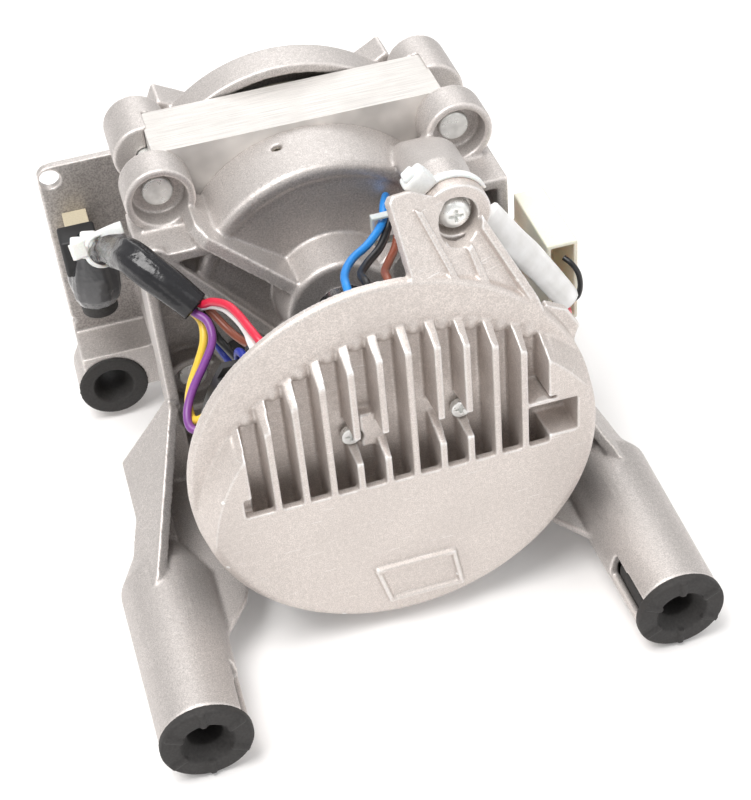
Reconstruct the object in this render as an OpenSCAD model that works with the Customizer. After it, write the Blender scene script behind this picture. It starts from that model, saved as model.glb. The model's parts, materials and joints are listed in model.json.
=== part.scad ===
// Brushless washing machine motor: square stator between two cast end shields, carrying tubes with
// rubber bushes, a finned electronics cover in front and a ribbed belt pulley behind.
// X is across, Y runs along the shaft from the electronics to the pulley, Z is up.
// Stations along Y are measured from the front face of the stator stack, and placed() moves them to
// the origin, which is on the shaft axis in the belt plane.

/* [Stator] */
// Width and height of the square stator stack
stack_w = 105; // [100:1:112]
// Length of the stator stack
stack_l = 28; // [20:1:45]
// Number of teeth and coils
teeth = 12; // [9:3:15]
// Width of one tooth
tooth_w = 8; // [6:0.5:9]
// Radius of the stator bore
bore_r = 28.2; // [27:0.2:30]
// Radius of the slot bottoms
slot_r = 45; // [43:0.5:46]
// Height of the insulator walls beyond the stack
insulator_h = 9; // [7:0.5:11]
// Thickness of one coil side across the tooth
coil_t = 3.6; // [2.5:0.1:4]

/* [Rotor] */
// Air gap between stator and rotor
air_gap = 0.6; // [0.4:0.1:1]
// Number of magnets
magnets = 8; // [6:2:10]
// Thickness of the magnets
magnet_t = 3.5; // [2:0.5:5]
// Radius of the shaft in the bearings
shaft_r = 7.5; // [6:0.5:8]

/* [Bearings] */
// Outer radius of the ball bearings
bearing_r = 17.5; // [16.5:0.5:18]
// Width of the ball bearings
bearing_w = 11; // [9:0.5:13]
// Radius of the balls
ball_r = 3; // [2:0.25:3]
// Number of balls in each bearing
balls = 8; // [6:1:9]

/* [Through bolts] */
// Distance of the bolts from the middle, across
bolt_x = 53.8; // [53:0.2:56]
// Distance of the bolts from the middle, up and down
bolt_z = 41.9; // [38:0.1:44]
// Radius of the bolt shanks
bolt_r = 2.9; // [2.2:0.1:3.2]
// Radius of the round bolt heads
bolt_head_r = 5.5; // [4.5:0.1:6]

/* [Front shield] */
// Outer radius of the bell
bell_r = 50.5; // [50:0.1:52]
// Wall of the bell and of its face
bell_wall = 2.4; // [2:0.1:3]
// Length of the bell in front of the stack
bell_l = 27; // [25:0.5:32]
// Radius of the bearing hub
hub_r = 20.5; // [20:0.1:23]
// Radius of the four bolt lugs
lug_r = 12.5; // [11:0.1:13.5]
// Length of the front bolt lugs
lug_l = 14; // [12:0.5:16]
// Width of the diagonal ribs
rib_w = 5; // [3:0.5:7]
// Wall of the side frame and of the webs
frame_wall = 4; // [3:0.5:5]
// Length of the side frame in front of the stack
frame_l = 30; // [26:1:34]

/* [Carrying tubes] */
// Distance of the tube axes from the middle, across
tube_x = 82.8; // [80:0.1:86]
// Depth of the tube axes below the shaft
tube_z = 73.5; // [71:0.1:76]
// Radius of the tubes at their front end
tube_r = 15.3; // [14.5:0.1:16]
// Radius of the tubes where they meet the webs
tube_root_r = 16.6; // [16:0.1:17.5]
// Station of the front end of the tubes
tube_front = 150; // [140:1:160]
// Inner radius of the tubes
tube_bore_r = 12.5; // [11:0.1:13]
// Radius of the hole in the bushes
bush_hole_r = 6; // [4:0.1:7]

/* [Rear shield] */
// Radius of the ring behind the stack
ring_r = 59; // [57:0.5:62]
// Length of the ring
ring_l = 16; // [14:0.5:20]
// Station of the front face of the bush blocks behind the stack
block_front = 8; // [6:0.5:12]
// Length of the bush blocks
block_l = 19.6; // [17:0.1:24]
// Radius of the rear bushes
rear_bush_r = 14.2; // [13:0.1:15]
// Thickness of the mounting plate
plate_t = 4; // [3:0.5:6]
// Radius of the hole in the mounting plate
plate_hole_r = 4; // [3:0.1:5]

/* [Electronics cover] */
// Radius of the cover
cover_r = 69.7; // [68:0.1:72]
// Depth of the cover axis below the shaft
cover_z = 16.4; // [14:0.1:18]
// Station of the front face of the lower disc and of the fin crests
crest_y = 111; // [109:0.5:115]
// Station of the front face of the band above the fins
band_y = 102; // [101:0.5:104]
// Station of the floor between the fins
floor_y = 98; // [97:0.5:99]
// Number of fins
fins = 12; // [8:1:12]
// Distance from one fin to the next
fin_pitch = 9.45; // [9:0.05:9.8]
// Width of a fin at its crest
fin_crest_w = 2.3; // [1.5:0.1:3]
// Width of a fin at its foot
fin_foot_w = 3.8; // [3.2:0.1:5]
// Wall of the lower disc
disc_wall = 3; // [2:0.5:4]

/* [Electronics] */
// Thickness of the tray walls
tray_wall = 2.5; // [2:0.1:3]
// Depth of the electronics tray
tray_l = 36; // [32:1:38]
// Thickness of the control board
board_t = 1.6; // [1:0.2:2.4]
// Radius of the capacitors
capacitor_r = 9; // [6:0.5:10]

/* [Belt pulley] */
// Outer radius of the pulley
pulley_r = 11; // [10:0.5:14]
// Width of the pulley
pulley_w = 20; // [16:1:26]
// Pitch of the belt grooves
groove_pitch = 2.34; // [2:0.02:3]

/* [Wires] */
// Radius of the loom wires
wire_r = 1.3; // [1:0.1:1.5]
// Radius of the black loom sleeve
sleeve_r = 5; // [4.5:0.1:6]

/* [Hidden] */

$fn = 64;
eps = 0.02;
fit = 0.05;

cast = "#b7b1ab";
steel = "#c9cbcd";
rubber = "#2b2a29";
black_plastic = "#1d1d1f";

entry_round = 1;
back_y = stack_l;
rotor_r = bore_r - air_gap;
rotor_iron_r = rotor_r - magnet_t;
tip_t = 2.4;
tip_w = 12;
sheet_t = 2;
end_turn = 5;

face_y = -bell_l;
hub_y = -bell_l - 16;
front_bearing_y = hub_y + 2;
rear_face_y = back_y + ring_l;
lug_reach = 12;
rear_bearing_y = rear_face_y + 1;
rear_hub_y = rear_bearing_y + bearing_w + 2;
pulley_y = rear_hub_y + 8;
belt_y = pulley_y + pulley_w / 2;

race_t = 2.6;
groove_gap = 0.1;
circlip_y = rear_bearing_y + bearing_w + 0.1;
circlip_t = 1;
ball_pitch_r = (bearing_r + shaft_r) / 2;
seal_t = 0.8;

frame_x = 66;
frame_top = 31;
frame_low = -31;
base_z = -75;
web_x = 88;
web_z = -58;
web_drop = atan2(frame_low - web_z, web_x - frame_x);
web_run = norm([web_x - frame_x, frame_low - web_z]);
web_sink = 0.4;
tube_root_y = -82;
bore_end_y = tube_root_y - 8.5;
left_bore_extra = 1.5;
bush_l = 22;
bush_flange_t = 3.2;
bush_body_r = tube_bore_r - fit;

block_y = back_y + block_front;
plate_y = block_y + block_l;
plate_x = 93;
plate_top = 21;
plate_hole_x = 88.3;
plate_hole_z = 15.6;
rear_body_r = rear_bush_r - 2.4;

cover_back_y = -floor_y + 3;
tray_r = cover_r - 8.2;
tray_rim_y = cover_back_y + 0.8;
tray_back_y = tray_rim_y + tray_l;
tray_floor_y = tray_rim_y + 15;
tray_top = 20;
well_top = -10;
loom_x = -36;
lead_x = 0;
board_y = cover_back_y + 5;
board_back_y = board_y + board_t;
fin_x0 = -(fins - 1) * fin_pitch / 2 + 0.3;
fin_low_z = -20.4;
crest_arc_x = 5.2;
crest_arc_z = -37.8;
crest_arc_r = 70.3;
foot_arc_r = 75;
undercut_z = fin_low_z - 13;
box_top = -3;
box_right = 61;

boss_x = 29.6;
boss_z = 61.9;
boss_r = 11.5;
boss_y = -87.5;
seat_y = -82;
pillar_y = -78;

screw_left_x = -14;
screw_right_x = 23.7;
screw_z = -5;

// Shared shapes

module placed() {
    translate([0, -belt_y, 0]) children();
}

// A round bar along Y, from y0 to y1
module rod(y0, y1, r, x = 0, z = 0, r2 = undef) {
    translate([x, y0, z])
        rotate([-90, 0, 0])
            cylinder(h = y1 - y0, r1 = r, r2 = is_undef(r2) ? r : r2);
}

// A plate with its outline in X and Z, from y0 to y1
module plate(y0, y1) {
    translate([0, y1, 0])
        rotate([90, 0, 0])
            linear_extrude(height = y1 - y0) children();
}

// A body turned about the Y axis, outline as [radius, station]
module turned(outline) {
    rotate([-90, 0, 0])
        rotate_extrude() polygon(outline);
}

// A ring along Y
module ring(y0, y1, r_out, r_in, x = 0, z = 0) {
    difference() {
        rod(y0, y1, r_out, x, z);
        rod(y0 - 1, y1 + 1, r_in, x, z);
    }
}

// Both sides of the motor
module both_sides() {
    for (side = [0, 1])
        mirror([side, 0, 0]) children();
}

module all_bolts() {
    for (x = [-bolt_x, bolt_x])
        for (z = [-bolt_z, bolt_z])
            translate([x, 0, z]) children();
}

// Points of an arc, angles in degrees
function arc(x, y, r, a0, a1, n) = [
    for (i = [0:n]) [x + r * cos(a0 + (a1 - a0) * i / n), y + r * sin(a0 + (a1 - a0) * i / n)]
];

// A tube swept along a list of points, with eight sides
sides = 8;
function unit(v) = v / norm(v);
function heading(p, i) = unit(p[min(i + 1, len(p) - 1)] - p[max(i - 1, 0)]);
function across(t) = unit(cross(t, abs(t[2]) < 0.9 ? [0, 0, 1] : [1, 0, 0]));
function tube_ring(p, i, r, flat) = [
    for (k = [0:sides - 1])
        p[i] + r * cos(360 * k / sides) * across(heading(p, i))
             + r * flat * sin(360 * k / sides) * cross(heading(p, i), across(heading(p, i)))
];
module cord(p, r, flat = 1) {
    n = len(p);
    rings = [for (i = [0:n - 1]) for (q = tube_ring(p, i, r, flat)) q];
    skin = [
        for (i = [0:n - 2])
            for (k = [0:sides - 1])
                for (half = [0, 1])
                    let (a = i * sides + k, b = i * sides + (k + 1) % sides)
                        half == 0 ? [a, b, b + sides] : [a, b + sides, a + sides]
    ];
    front_cap = [for (k = [1:sides - 2]) [0, k + 1, k]];
    last = (n - 1) * sides;
    rear_cap = [for (k = [1:sides - 2]) [last, last + k, last + k + 1]];
    polyhedron(points = rings, faces = concat(skin, front_cap, rear_cap));
}

// Stator

module slot_pattern() {
    difference() {
        circle(r = slot_r);
        for (i = [0:teeth - 1])
            rotate(i * 360 / teeth) {
                translate([bore_r, -tooth_w / 2]) square([slot_r, tooth_w]);
                translate([bore_r, -tip_w / 2]) square([tip_t, tip_w]);
            }
        circle(r = bore_r + entry_round);
    }
}

module stator_core() {
    color("#a9a7a4") placed()
        plate(0, stack_l)
            difference() {
                square(stack_w, center = true);
                circle(r = bore_r);
                slot_pattern();
                for (x = [-bolt_x, bolt_x])
                    for (z = [-bolt_z, bolt_z])
                        translate([x, z]) circle(r = bolt_r + 0.4);
            }
}

// One insulator half at the station of its face, growing to the front or to the rear
module insulator(y, out) {
    y0 = out < 0 ? y - sheet_t : y;
    wall0 = out < 0 ? y - insulator_h : y + sheet_t - eps;
    wall1 = out < 0 ? y - sheet_t + eps : y + insulator_h;
    plate(y0, y0 + sheet_t)
        difference() {
            circle(r = slot_r + 2.5);
            slot_pattern();
            circle(r = bore_r + 0.4);
        }
    ring(wall0, wall1, slot_r + 2.3, slot_r + 0.6);
    for (i = [0:teeth - 1])
        rotate([0, i * 360 / teeth, 0])
            translate([bore_r + 0.6, wall0, -tooth_w / 2])
                cube([1.6, wall1 - wall0, tooth_w]);
}

module stator_insulators() {
    color("#e8e2d2") placed() {
        insulator(0, -1);
        insulator(back_y, 1);
    }
}

module stator_windings() {
    coil_r0 = bore_r + 3.2;
    coil_l = sqrt(pow(slot_r - 0.3, 2) - pow(tooth_w / 2 + coil_t, 2)) - coil_r0;
    hole_w = tooth_w + 2 * fit;
    hole_y0 = -sheet_t - fit;
    hole_y1 = back_y + sheet_t + fit;
    color("#b5652c") placed()
        for (i = [0:teeth - 1])
            rotate([0, i * 360 / teeth, 0])
                difference() {
                    translate([coil_r0, hole_y0 - end_turn, -tooth_w / 2 - coil_t])
                        cube([coil_l, hole_y1 - hole_y0 + 2 * end_turn, tooth_w + 2 * coil_t]);
                    translate([coil_r0 - 1, hole_y0, -hole_w / 2])
                        cube([coil_l + 2, hole_y1 - hole_y0, hole_w]);
                }
}

// Through bolts

bolt_floor_y = -lug_l + 8;
rear_lug_l = 12;
bolt_end_y = back_y + rear_lug_l + 7;

module through_bolts() {
    head_t = 1.8;
    color(steel) placed()
        all_bolts() {
            turned(concat(
                [[0, bolt_floor_y], [0, bolt_floor_y - head_t]],
                arc(bolt_head_r - 0.5, bolt_floor_y - head_t + 0.5, 0.5, -90, 0, 4),
                [[bolt_head_r, bolt_floor_y]]
            ));
            rod(bolt_floor_y - eps, bolt_end_y, bolt_r);
        }
}

module through_bolt_nuts() {
    nut_t = 5;
    color(steel) placed()
        all_bolts()
            difference() {
                translate([0, back_y + rear_lug_l, 0])
                    rotate([-90, 0, 0]) cylinder(h = nut_t, r = 2 * bolt_r - 0.1, $fn = 6);
                rod(back_y, bolt_end_y + 1, bolt_r + fit);
            }
}

// Front end shield

module diagonal_rib() {
    slope_r = bell_r + 4.5;
    lug_dist = norm([bolt_x, bolt_z]);
    translate([0, 0, rib_w / 2])
                mirror([0, 0, 1])
                linear_extrude(height = rib_w)
                    polygon([
                        [hub_r - 3, face_y + 1],
                        [hub_r - 3, hub_y + 0.8],
                        [slope_r, face_y - 5],
                        [lug_dist - 2, -lug_l + 2],
                        [lug_dist - 2, -2],
                        [bell_r - 2, -2],
                        [bell_r - 2, face_y + 1]
                    ]);
}

module front_lugs() {
    all_bolts() rod(-lug_l, 0, lug_r);
}

// The frame outline in X and Z, drawn in by a margin
module frame_outline(margin) {
    polygon([
        [-frame_x + margin, frame_top],
        [-frame_x + margin, base_z + margin],
        [frame_x - margin, base_z + margin],
        [frame_x - margin, frame_top]
    ]);
}

module side_frame() {
    plate(-frame_l, 0)
        difference() {
            frame_outline(0);
            difference() {
                frame_outline(frame_wall);
                translate([-frame_x, frame_top - frame_wall]) square([2 * frame_x, frame_wall + 1]);
            }
            circle(r = bell_r - 1);
        }
    plate(-6, 0) frame_outline(1);
}

// The cross wall from the side frame out to the root of a tube
module root_wall() {
    plate(-frame_l, -frame_l + frame_wall)
        polygon([
            [frame_x - 2, frame_low - 1.5],
            [web_x - 1.4, web_z - 0.6],
            [web_x - 1.4, -tube_z - 5],
            [frame_x - 2, base_z + 1]
        ]);
}

// The sloped gusset from the side frame down to the top of a tube
module web() {
    translate([frame_x, 0, frame_low])
        rotate([0, web_drop, 0])
            translate([0, 0, -frame_wall - web_sink])
                linear_extrude(height = frame_wall)
                    polygon(concat(
                        [[1, -frame_l + 2.3], [web_run, -frame_l + 2.3], [web_run, -58]],
                        [[web_run + 10, -78]],
                        arc(web_run + 1, -88, 6, 0, -140, 6),
                        [[1, -frame_l - 4]]
                    ));
}

module tube_outside() {
    translate([tube_x, 0, -tube_z])
        turned([
            [0, -tube_front],
            [tube_r, -tube_front],
            [tube_root_r, tube_root_y],
            [8, tube_root_y + 20],
            [0, tube_root_y + 20]
        ]);
    plate(tube_root_y + 16, -frame_l + 1)
        polygon([
            [tube_x - 8, -tube_z - 5.5],
            [tube_x + 4.4, -tube_z - 5.5],
            [tube_x + 4.4, -tube_z + 11],
            [tube_x - 2, -tube_z + 14],
            [tube_x - 8, -tube_z + 8]
        ]);
}

module tube_inside(end_y) {
    rod(-tube_front - 1, end_y, tube_bore_r, tube_x, -tube_z);
    translate([tube_x - tube_root_r - 2, -tube_front - 1, -tube_z - 1.5])
        cube([tube_root_r, bush_l + 2, 9]);
}

// The flat gusset between a tube and the side frame
module base_gusset() {
    translate([0, 0, base_z + 0.5])
        linear_extrude(height = 2.8)
            polygon([
                [tube_x - 10, -118],
                [tube_x - 14, -116],
                [tube_x - 16.5, -110],
                [57.4, -98],
                [44, -60],
                [40, -frame_l + 4.3],
                [tube_x, -frame_l + 4.3],
                [tube_x, -60]
            ]);
}

module arm_pillar() {
    hull() {
        rod(pillar_y, pillar_y + 10, boss_r - 1.5, boss_x, boss_z, $fn = 32);
        rod(-lug_l - 6, -lug_l + 4, 7, bolt_x - 7, bolt_z - 7, $fn = 32);
        rod(-lug_l - 6, -lug_l + 4, 4, bolt_x - 20, bolt_z - 4, $fn = 32);
    }
}

// The raised edge round the right side of the front shield
module right_edge() {
    plate(-lug_l, -lug_l + frame_wall)
        polygon([
            [bolt_x, bolt_z + 4],
            [62.7, 47.9],
            [60.5, 41],
            [59.6, 36.8],
            [60.2, 29.7],
            [69.5, 10.3],
            [69.7, -0.5],
            [frame_x - 1, -24],
            [frame_x - frame_wall, -24],
            [frame_x - frame_wall, 10],
            [54, 28]
        ]);
    plate(-lug_l, 0)
        polygon([
            [60.2, 29.7],
            [69.5, 10.3],
            [69.7, -0.5],
            [frame_x - 1, -24],
            [frame_x - frame_wall, -24],
            [66.4, -0.5],
            [66.2, 9],
            [57.5, 28]
        ]);
}

// The lower left rib, from the lug past the hub
module leaning_rib() {
    plate(-frame_l, face_y + 1)
        polygon([[-62, 34], [-58, 34], [-51, 23], [-22, -13], [-26, -15.5], [-54, 19]]);
}

module front_end_shield() {
    lip = 3;
    inner_r = bell_r - bell_wall;
    pocket_r = lug_r - 2.8;
    color(cast) placed() difference() {
        union() {
            turned(concat(
                [[0, face_y + bell_wall + 1], [0, face_y + 1]],
                [[bell_r - lip - 3, face_y + 1]],
                [[bell_r - lip - 2, face_y]],
                arc(bell_r - lip, face_y + lip, lip, -90, 0, 6),
                [[bell_r, 0], [inner_r, 0], [inner_r, face_y + bell_wall + 1]]
            ));
            turned(concat(
                [[0, face_y + 2], [0, hub_y]],
                arc(hub_r - 2, hub_y + 2, 2, -90, 0, 5),
                [[hub_r + 1.5, face_y + 2]]
            ));
            difference() {
                union() {
                    for (a = [1, -1])
                        for (b = [0, 180])
                            rotate([0, b + a * atan2(bolt_z, bolt_x), 0]) diagonal_rib();
                    front_lugs();
                    side_frame();
                    arm_pillar();
                    leaning_rib();
                }
                rod(face_y + 0.5, 1, inner_r + 0.5);
                rod(face_y - 30, face_y + 1, bearing_r - 1);
            }
            right_edge();
            for (side = [0, 1])
                mirror([side, 0, 0]) {
                    web();
                    root_wall();
                    difference() {
                        tube_outside();
                        tube_inside(bore_end_y + side * left_bore_extra);
                    }
                    difference() {
                        base_gusset();
                        tube_inside(bore_end_y + side * left_bore_extra);
                    }
                }
        }
        rod(front_bearing_y, 0, bearing_r + fit);
        rod(hub_y - 1, 0, shaft_r + 3);
        all_bolts() {
            rod(-lug_l - 40, bolt_floor_y, pocket_r);
            rod(bolt_floor_y - 1, 1, bolt_r + 0.3);
        }
        rod(pillar_y - 1, pillar_y + 20, 2.5, boss_x, boss_z);
        translate([-10.5, -8, bell_r - 8]) cylinder(h = 12, r = 1.9);
    }
}

// Rear end shield

module rear_lugs() {
    all_bolts() rod(back_y, back_y + rear_lug_l, lug_r - 1);
    difference() {
        all_bolts() rod(back_y - lug_reach, back_y + 1, lug_r - 1);
        plate(back_y - lug_reach - 1, back_y) square(stack_w + 2 * fit, center = true);
    }
}

module rear_ears() {
    for (x = [-1, 1])
        plate(rear_face_y - 2, rear_face_y + 12)
            polygon([[x * 30, 40], [x * 43.8, 47.5], [x * 52, 30], [x * 40, 22]]);
}

module bush_block() {
    block_top = -58;
    plate(block_y, plate_y)
        difference() {
            union() {
                translate([tube_x, -tube_z]) circle(r = rear_bush_r - 0.4);
                translate([63.4, -tube_z]) square([plate_x - 63.4, block_top + tube_z]);
                translate([44, -tube_z - 4]) square([26, 8]);
            }
            translate([tube_x, -tube_z]) circle(r = rear_body_r);
        }
}

// The mounting plate on the left, with its hole at the top
module mounting_plate() {
    corner = 5;
    plate(plate_y - eps, plate_y + plate_t)
        difference() {
            union() {
                translate([-plate_x + corner, plate_top - corner]) circle(r = corner);
                translate([-plate_x, base_z + 1]) square([corner + 1, plate_top - corner - base_z - 1]);
                translate([-plate_x + corner, base_z + 1])
                    square([plate_x - corner - 40, plate_top - base_z - 1]);
            }
            translate([-plate_hole_x, plate_hole_z]) circle(r = plate_hole_r);
            translate([-plate_x - 1, -53]) square([2.5, 2]);
            translate([-tube_x, -tube_z]) circle(r = rear_body_r);
            circle(r = ring_r - 12);
        }
}

module rear_end_shield() {
    hub_out_r = bearing_r + 4;
    color(cast) placed() difference() {
        union() {
            turned(concat(
                [[0, rear_face_y - 3], [ring_r - 4, rear_face_y - 3], [ring_r - 4, back_y], [ring_r, back_y]],
                arc(ring_r - 2, rear_face_y - 2, 2, 0, 90, 5),
                [[0, rear_face_y]]
            ));
            rod(rear_face_y - 6, rear_hub_y, hub_out_r);
            rear_lugs();
            rear_ears();
            both_sides() bush_block();
            mounting_plate();
            for (i = [0:5])
                rotate([0, 30 + i * 60, 0])
                    translate([hub_out_r - 2, rear_face_y - 1, -1.5]) cube([ring_r - hub_out_r - 3, 7, 3]);
            difference() {
                plate(rear_face_y - 8, plate_y + plate_t)
                    difference() {
                        polygon([[-64, -40], [64, -40], [64, -78], [-64, -78]]);
                        polygon([[-60, -44], [60, -44], [60, -74], [-60, -74]]);
                    }
                rod(back_y, rear_face_y - 1, ring_r - 4);
                both_sides() rod(block_y - 1, plate_y + plate_t + 1, rear_body_r + 1, tube_x, -tube_z);
            }
        }
        rod(back_y - 1, rear_bearing_y + bearing_w, bearing_r + fit);
        rod(back_y - 1, rear_hub_y + 1, shaft_r + 3);
        all_bolts() rod(back_y - lug_reach - 1, back_y + rear_lug_l + 20, bolt_r + 0.3);
        all_bolts() rod(back_y + rear_lug_l, back_y + rear_lug_l + 30, 7);
        both_sides() rod(block_y - 1, plate_y + plate_t + 1, rear_body_r, tube_x, -tube_z);
    }
}

// Bearings

// The groove that the balls run in
module ball_groove(y) {
    translate([0, y + bearing_w / 2, 0])
        rotate([-90, 0, 0])
            rotate_extrude()
                translate([ball_pitch_r, 0]) circle(r = ball_r + groove_gap);
}

module outer_race(y) {
    difference() {
        ring(y, y + bearing_w, bearing_r, bearing_r - race_t);
        ball_groove(y);
    }
}

module bearing_balls(y) {
    for (i = [0:balls - 1])
        rotate([0, i * 360 / balls, 0])
            translate([ball_pitch_r, y + bearing_w / 2, 0]) sphere(r = ball_r, $fn = 24);
}

module bearing_seals(y) {
    for (y0 = [y + 0.4, y + bearing_w - 0.4 - seal_t])
        ring(y0, y0 + seal_t, bearing_r - race_t, shaft_r + race_t + 0.3);
}

module inner_race(y) {
    difference() {
        ring(y, y + bearing_w, shaft_r + race_t, shaft_r);
        ball_groove(y);
    }
}

module front_bearing_outer_race() { color(steel) placed() outer_race(front_bearing_y); }
module front_bearing_balls() { color(steel) placed() bearing_balls(front_bearing_y); }
module front_bearing_seals() { color(rubber) placed() bearing_seals(front_bearing_y); }
module front_bearing_inner_race() { color(steel) placed() inner_race(front_bearing_y); }
module rear_bearing_outer_race() { color(steel) placed() outer_race(rear_bearing_y); }
module rear_bearing_balls() { color(steel) placed() bearing_balls(rear_bearing_y); }
module rear_bearing_seals() { color(rubber) placed() bearing_seals(rear_bearing_y); }
module rear_bearing_inner_race() { color(steel) placed() inner_race(rear_bearing_y); }

module wave_washer() {
    y0 = front_bearing_y + bearing_w;
    color(steel) placed() ring(y0, y0 + 0.8, bearing_r - 0.2, bearing_r - 3);
}

// Rotor

module shaft() {
    core_r = 11;
    color(steel) placed()
        difference() {
            turned([
                [0, hub_y - 3],
                [shaft_r - 0.8, hub_y - 3],
                [shaft_r, hub_y - 2.2],
                [shaft_r, front_bearing_y + bearing_w],
                [core_r, front_bearing_y + bearing_w],
                [core_r, rear_bearing_y],
                [shaft_r, rear_bearing_y],
                [shaft_r, pulley_y + pulley_w],
                [shaft_r - 2.5, pulley_y + pulley_w],
                [shaft_r - 2.5, pulley_y + pulley_w + 11],
                [shaft_r - 3.3, pulley_y + pulley_w + 12],
                [0, pulley_y + pulley_w + 12]
            ]);
            ring(circlip_y - fit, circlip_y + circlip_t + fit, shaft_r + 1, shaft_r - 0.6);
        }
}

module rotor_core() {
    color("#8d8b88") placed()
        plate(0, stack_l)
            difference() {
                circle(r = rotor_iron_r);
                circle(r = 11);
                for (i = [0:magnets - 1])
                    rotate((i + 0.5) * 360 / magnets) translate([17, 0]) circle(r = 2.6);
            }
}

module rotor_magnets() {
    color("#4b4d50") placed()
        plate(0.5, stack_l - 0.5)
            difference() {
                circle(r = rotor_r);
                circle(r = rotor_iron_r);
                for (i = [0:magnets - 1])
                    rotate(i * 360 / magnets) translate([0, -0.6]) square([rotor_r + 1, 1.2]);
            }
}

module rotor_end_rings() {
    ring_out = rotor_r - 0.4;
    color("#d8d4c8") placed() {
        ring(-2, 0, ring_out, 11);
        ring(back_y, back_y + 2, ring_out, 11);
    }
}

module bearing_circlip() {
    color(steel) placed()
        plate(circlip_y, circlip_y + circlip_t)
            difference() {
                circle(r = shaft_r + 1.6);
                circle(r = shaft_r - 0.6);
                translate([-1.5, 0]) square([3, 12]);
            }
}

module drive_pulley() {
    grooves = floor((pulley_w - 5) / groove_pitch);
    land = (pulley_w - grooves * groove_pitch) / 2;
    color("#8f9092") placed()
        difference() {
            turned(concat(
                [[shaft_r, pulley_y - 4], [shaft_r + 2.2, pulley_y - 4], [shaft_r + 2.2, pulley_y]],
                [[pulley_r, pulley_y]],
                [
                    for (i = [0:grooves - 1])
                        for (q = [[0, 0], [-1.6, 0.5], [0, 1]])
                            [pulley_r + q[0], pulley_y + land + (i + q[1]) * groove_pitch]
                ],
                [[pulley_r, pulley_y + pulley_w], [shaft_r, pulley_y + pulley_w]]
            ));
            rod(pulley_y - 5, pulley_y - 4 + eps, shaft_r);
        }
}

module pulley_nut() {
    y0 = pulley_y + pulley_w;
    color(steel) placed()
        difference() {
            translate([0, y0, 0]) rotate([-90, 0, 0]) cylinder(h = 7, r = shaft_r + 2, $fn = 6);
            rod(y0 - 1, y0 + 8, shaft_r - 2.5);
        }
}

// Bushes

// A front bush at the front end of a tube
module front_bush(x) {
    front = -tube_front - bush_flange_t;
    mouth_r = 9.3;
    flange_r = tube_r + 0.4;
    translate([x, 0, -tube_z])
        difference() {
            union() {
                turned(concat(
                    [[bush_hole_r, front + 5], [mouth_r, front]],
                    arc(flange_r - 1, front + 1, 1, -90, 0, 4),
                    [[flange_r, -tube_front], [bush_body_r, -tube_front]],
                    [[bush_body_r, -tube_front + bush_l], [bush_hole_r, -tube_front + bush_l]]
                ));
                for (i = [0:5])
                    rotate([0, 30 + i * 60, 0])
                        translate([mouth_r - 0.6, front - 0.8, -0.9]) cube([flange_r - mouth_r, 1.8, 1.8]);
            }
            rod(front - 2, -tube_front + bush_l + 1, bush_hole_r);
        }
}

module rear_bush(x) {
    y0 = block_y - 1;
    translate([x, 0, -tube_z])
        turned([
            [bush_hole_r, y0 + 6],
            [8.3, y0],
            [rear_bush_r - 1, y0],
            [rear_bush_r, y0 + 0.8],
            [rear_bush_r, block_y],
            [rear_body_r - fit, block_y],
            [rear_body_r - fit, plate_y + plate_t],
            [bush_hole_r, plate_y + plate_t]
        ]);
}

module front_left_bush() { color(rubber) placed() front_bush(-tube_x); }
module front_right_bush() { color(rubber) placed() front_bush(tube_x); }
module rear_left_bush() { color(rubber) placed() rear_bush(-tube_x); }
module rear_right_bush() { color(rubber) placed() rear_bush(tube_x); }

// Electronics cover

function fin_x(i) = fin_x0 + i * fin_pitch;

module fin_prisms() {
    for (i = [0:fins - 1])
        translate([fin_x(i), 0, undercut_z - 6])
            linear_extrude(height = 100)
                polygon([
                    [-fin_crest_w / 2, -crest_y],
                    [fin_crest_w / 2, -crest_y],
                    [fin_foot_w / 2, -floor_y + 1],
                    [-fin_foot_w / 2, -floor_y + 1]
                ]);
}

// The space round the fins: open in front above the lip, and running down behind it
module channel_space() {
    left = fin_x(0) - fin_foot_w / 2 + 0.2;
    right = fin_x(fins - 1) + fin_foot_w / 2 - 0.2;
    deep = crest_y - floor_y;
    intersection() {
        turned_at(crest_arc_x, crest_arc_z, concat(
            [[0, -floor_y]],
            arc(foot_arc_r + 1, -floor_y, band_y - floor_y, 180, 270, 8),
            [[foot_arc_r + 1.1, -band_y - 0.1], [foot_arc_r + 1.1, -crest_y - 1], [0, -crest_y - 1]]
        ));
        translate([left, -crest_y - 2, fin_low_z]) cube([right - left, deep + 3, 120]);
    }
    translate([left, -crest_y + disc_wall, undercut_z]) cube([right - left, deep - disc_wall, 20]);
    translate([right - 1, -crest_y - 1, fin_low_z + disc_wall])
        cube([box_right - right + 1, deep + 1, box_top - fin_low_z - disc_wall]);
}

module turned_at(x, z, outline) {
    translate([x, 0, z]) turned(outline);
}

module cover_fins() {
    notch_z0 = -8.5;
    notch_z1 = 1.5;
    difference() {
        intersection() {
            fin_prisms();
            rod(-crest_y, -floor_y + 1, crest_arc_r, crest_arc_x, crest_arc_z, foot_arc_r + 1.5);
        }
        for (i = [4, 5, 7, 8])
            translate([fin_x(i) - 3, 0, 0])
                rotate([90, 0, 90])
                    linear_extrude(height = 6)
                        polygon([
                            [-crest_y - 1, notch_z0 - 1],
                            [-floor_y, notch_z0 + 4],
                            [-floor_y, notch_z1],
                            [-crest_y - 1, notch_z1]
                        ]);
        translate([fin_x(0) - 3, -crest_y - 1, fin_low_z - 1]) cube([6, 6, 9]);
        translate([fin_x(11) - 3, -crest_y - 1, fin_low_z + 3]) cube([6, crest_y - floor_y + 1, 17]);
    }
}

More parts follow.
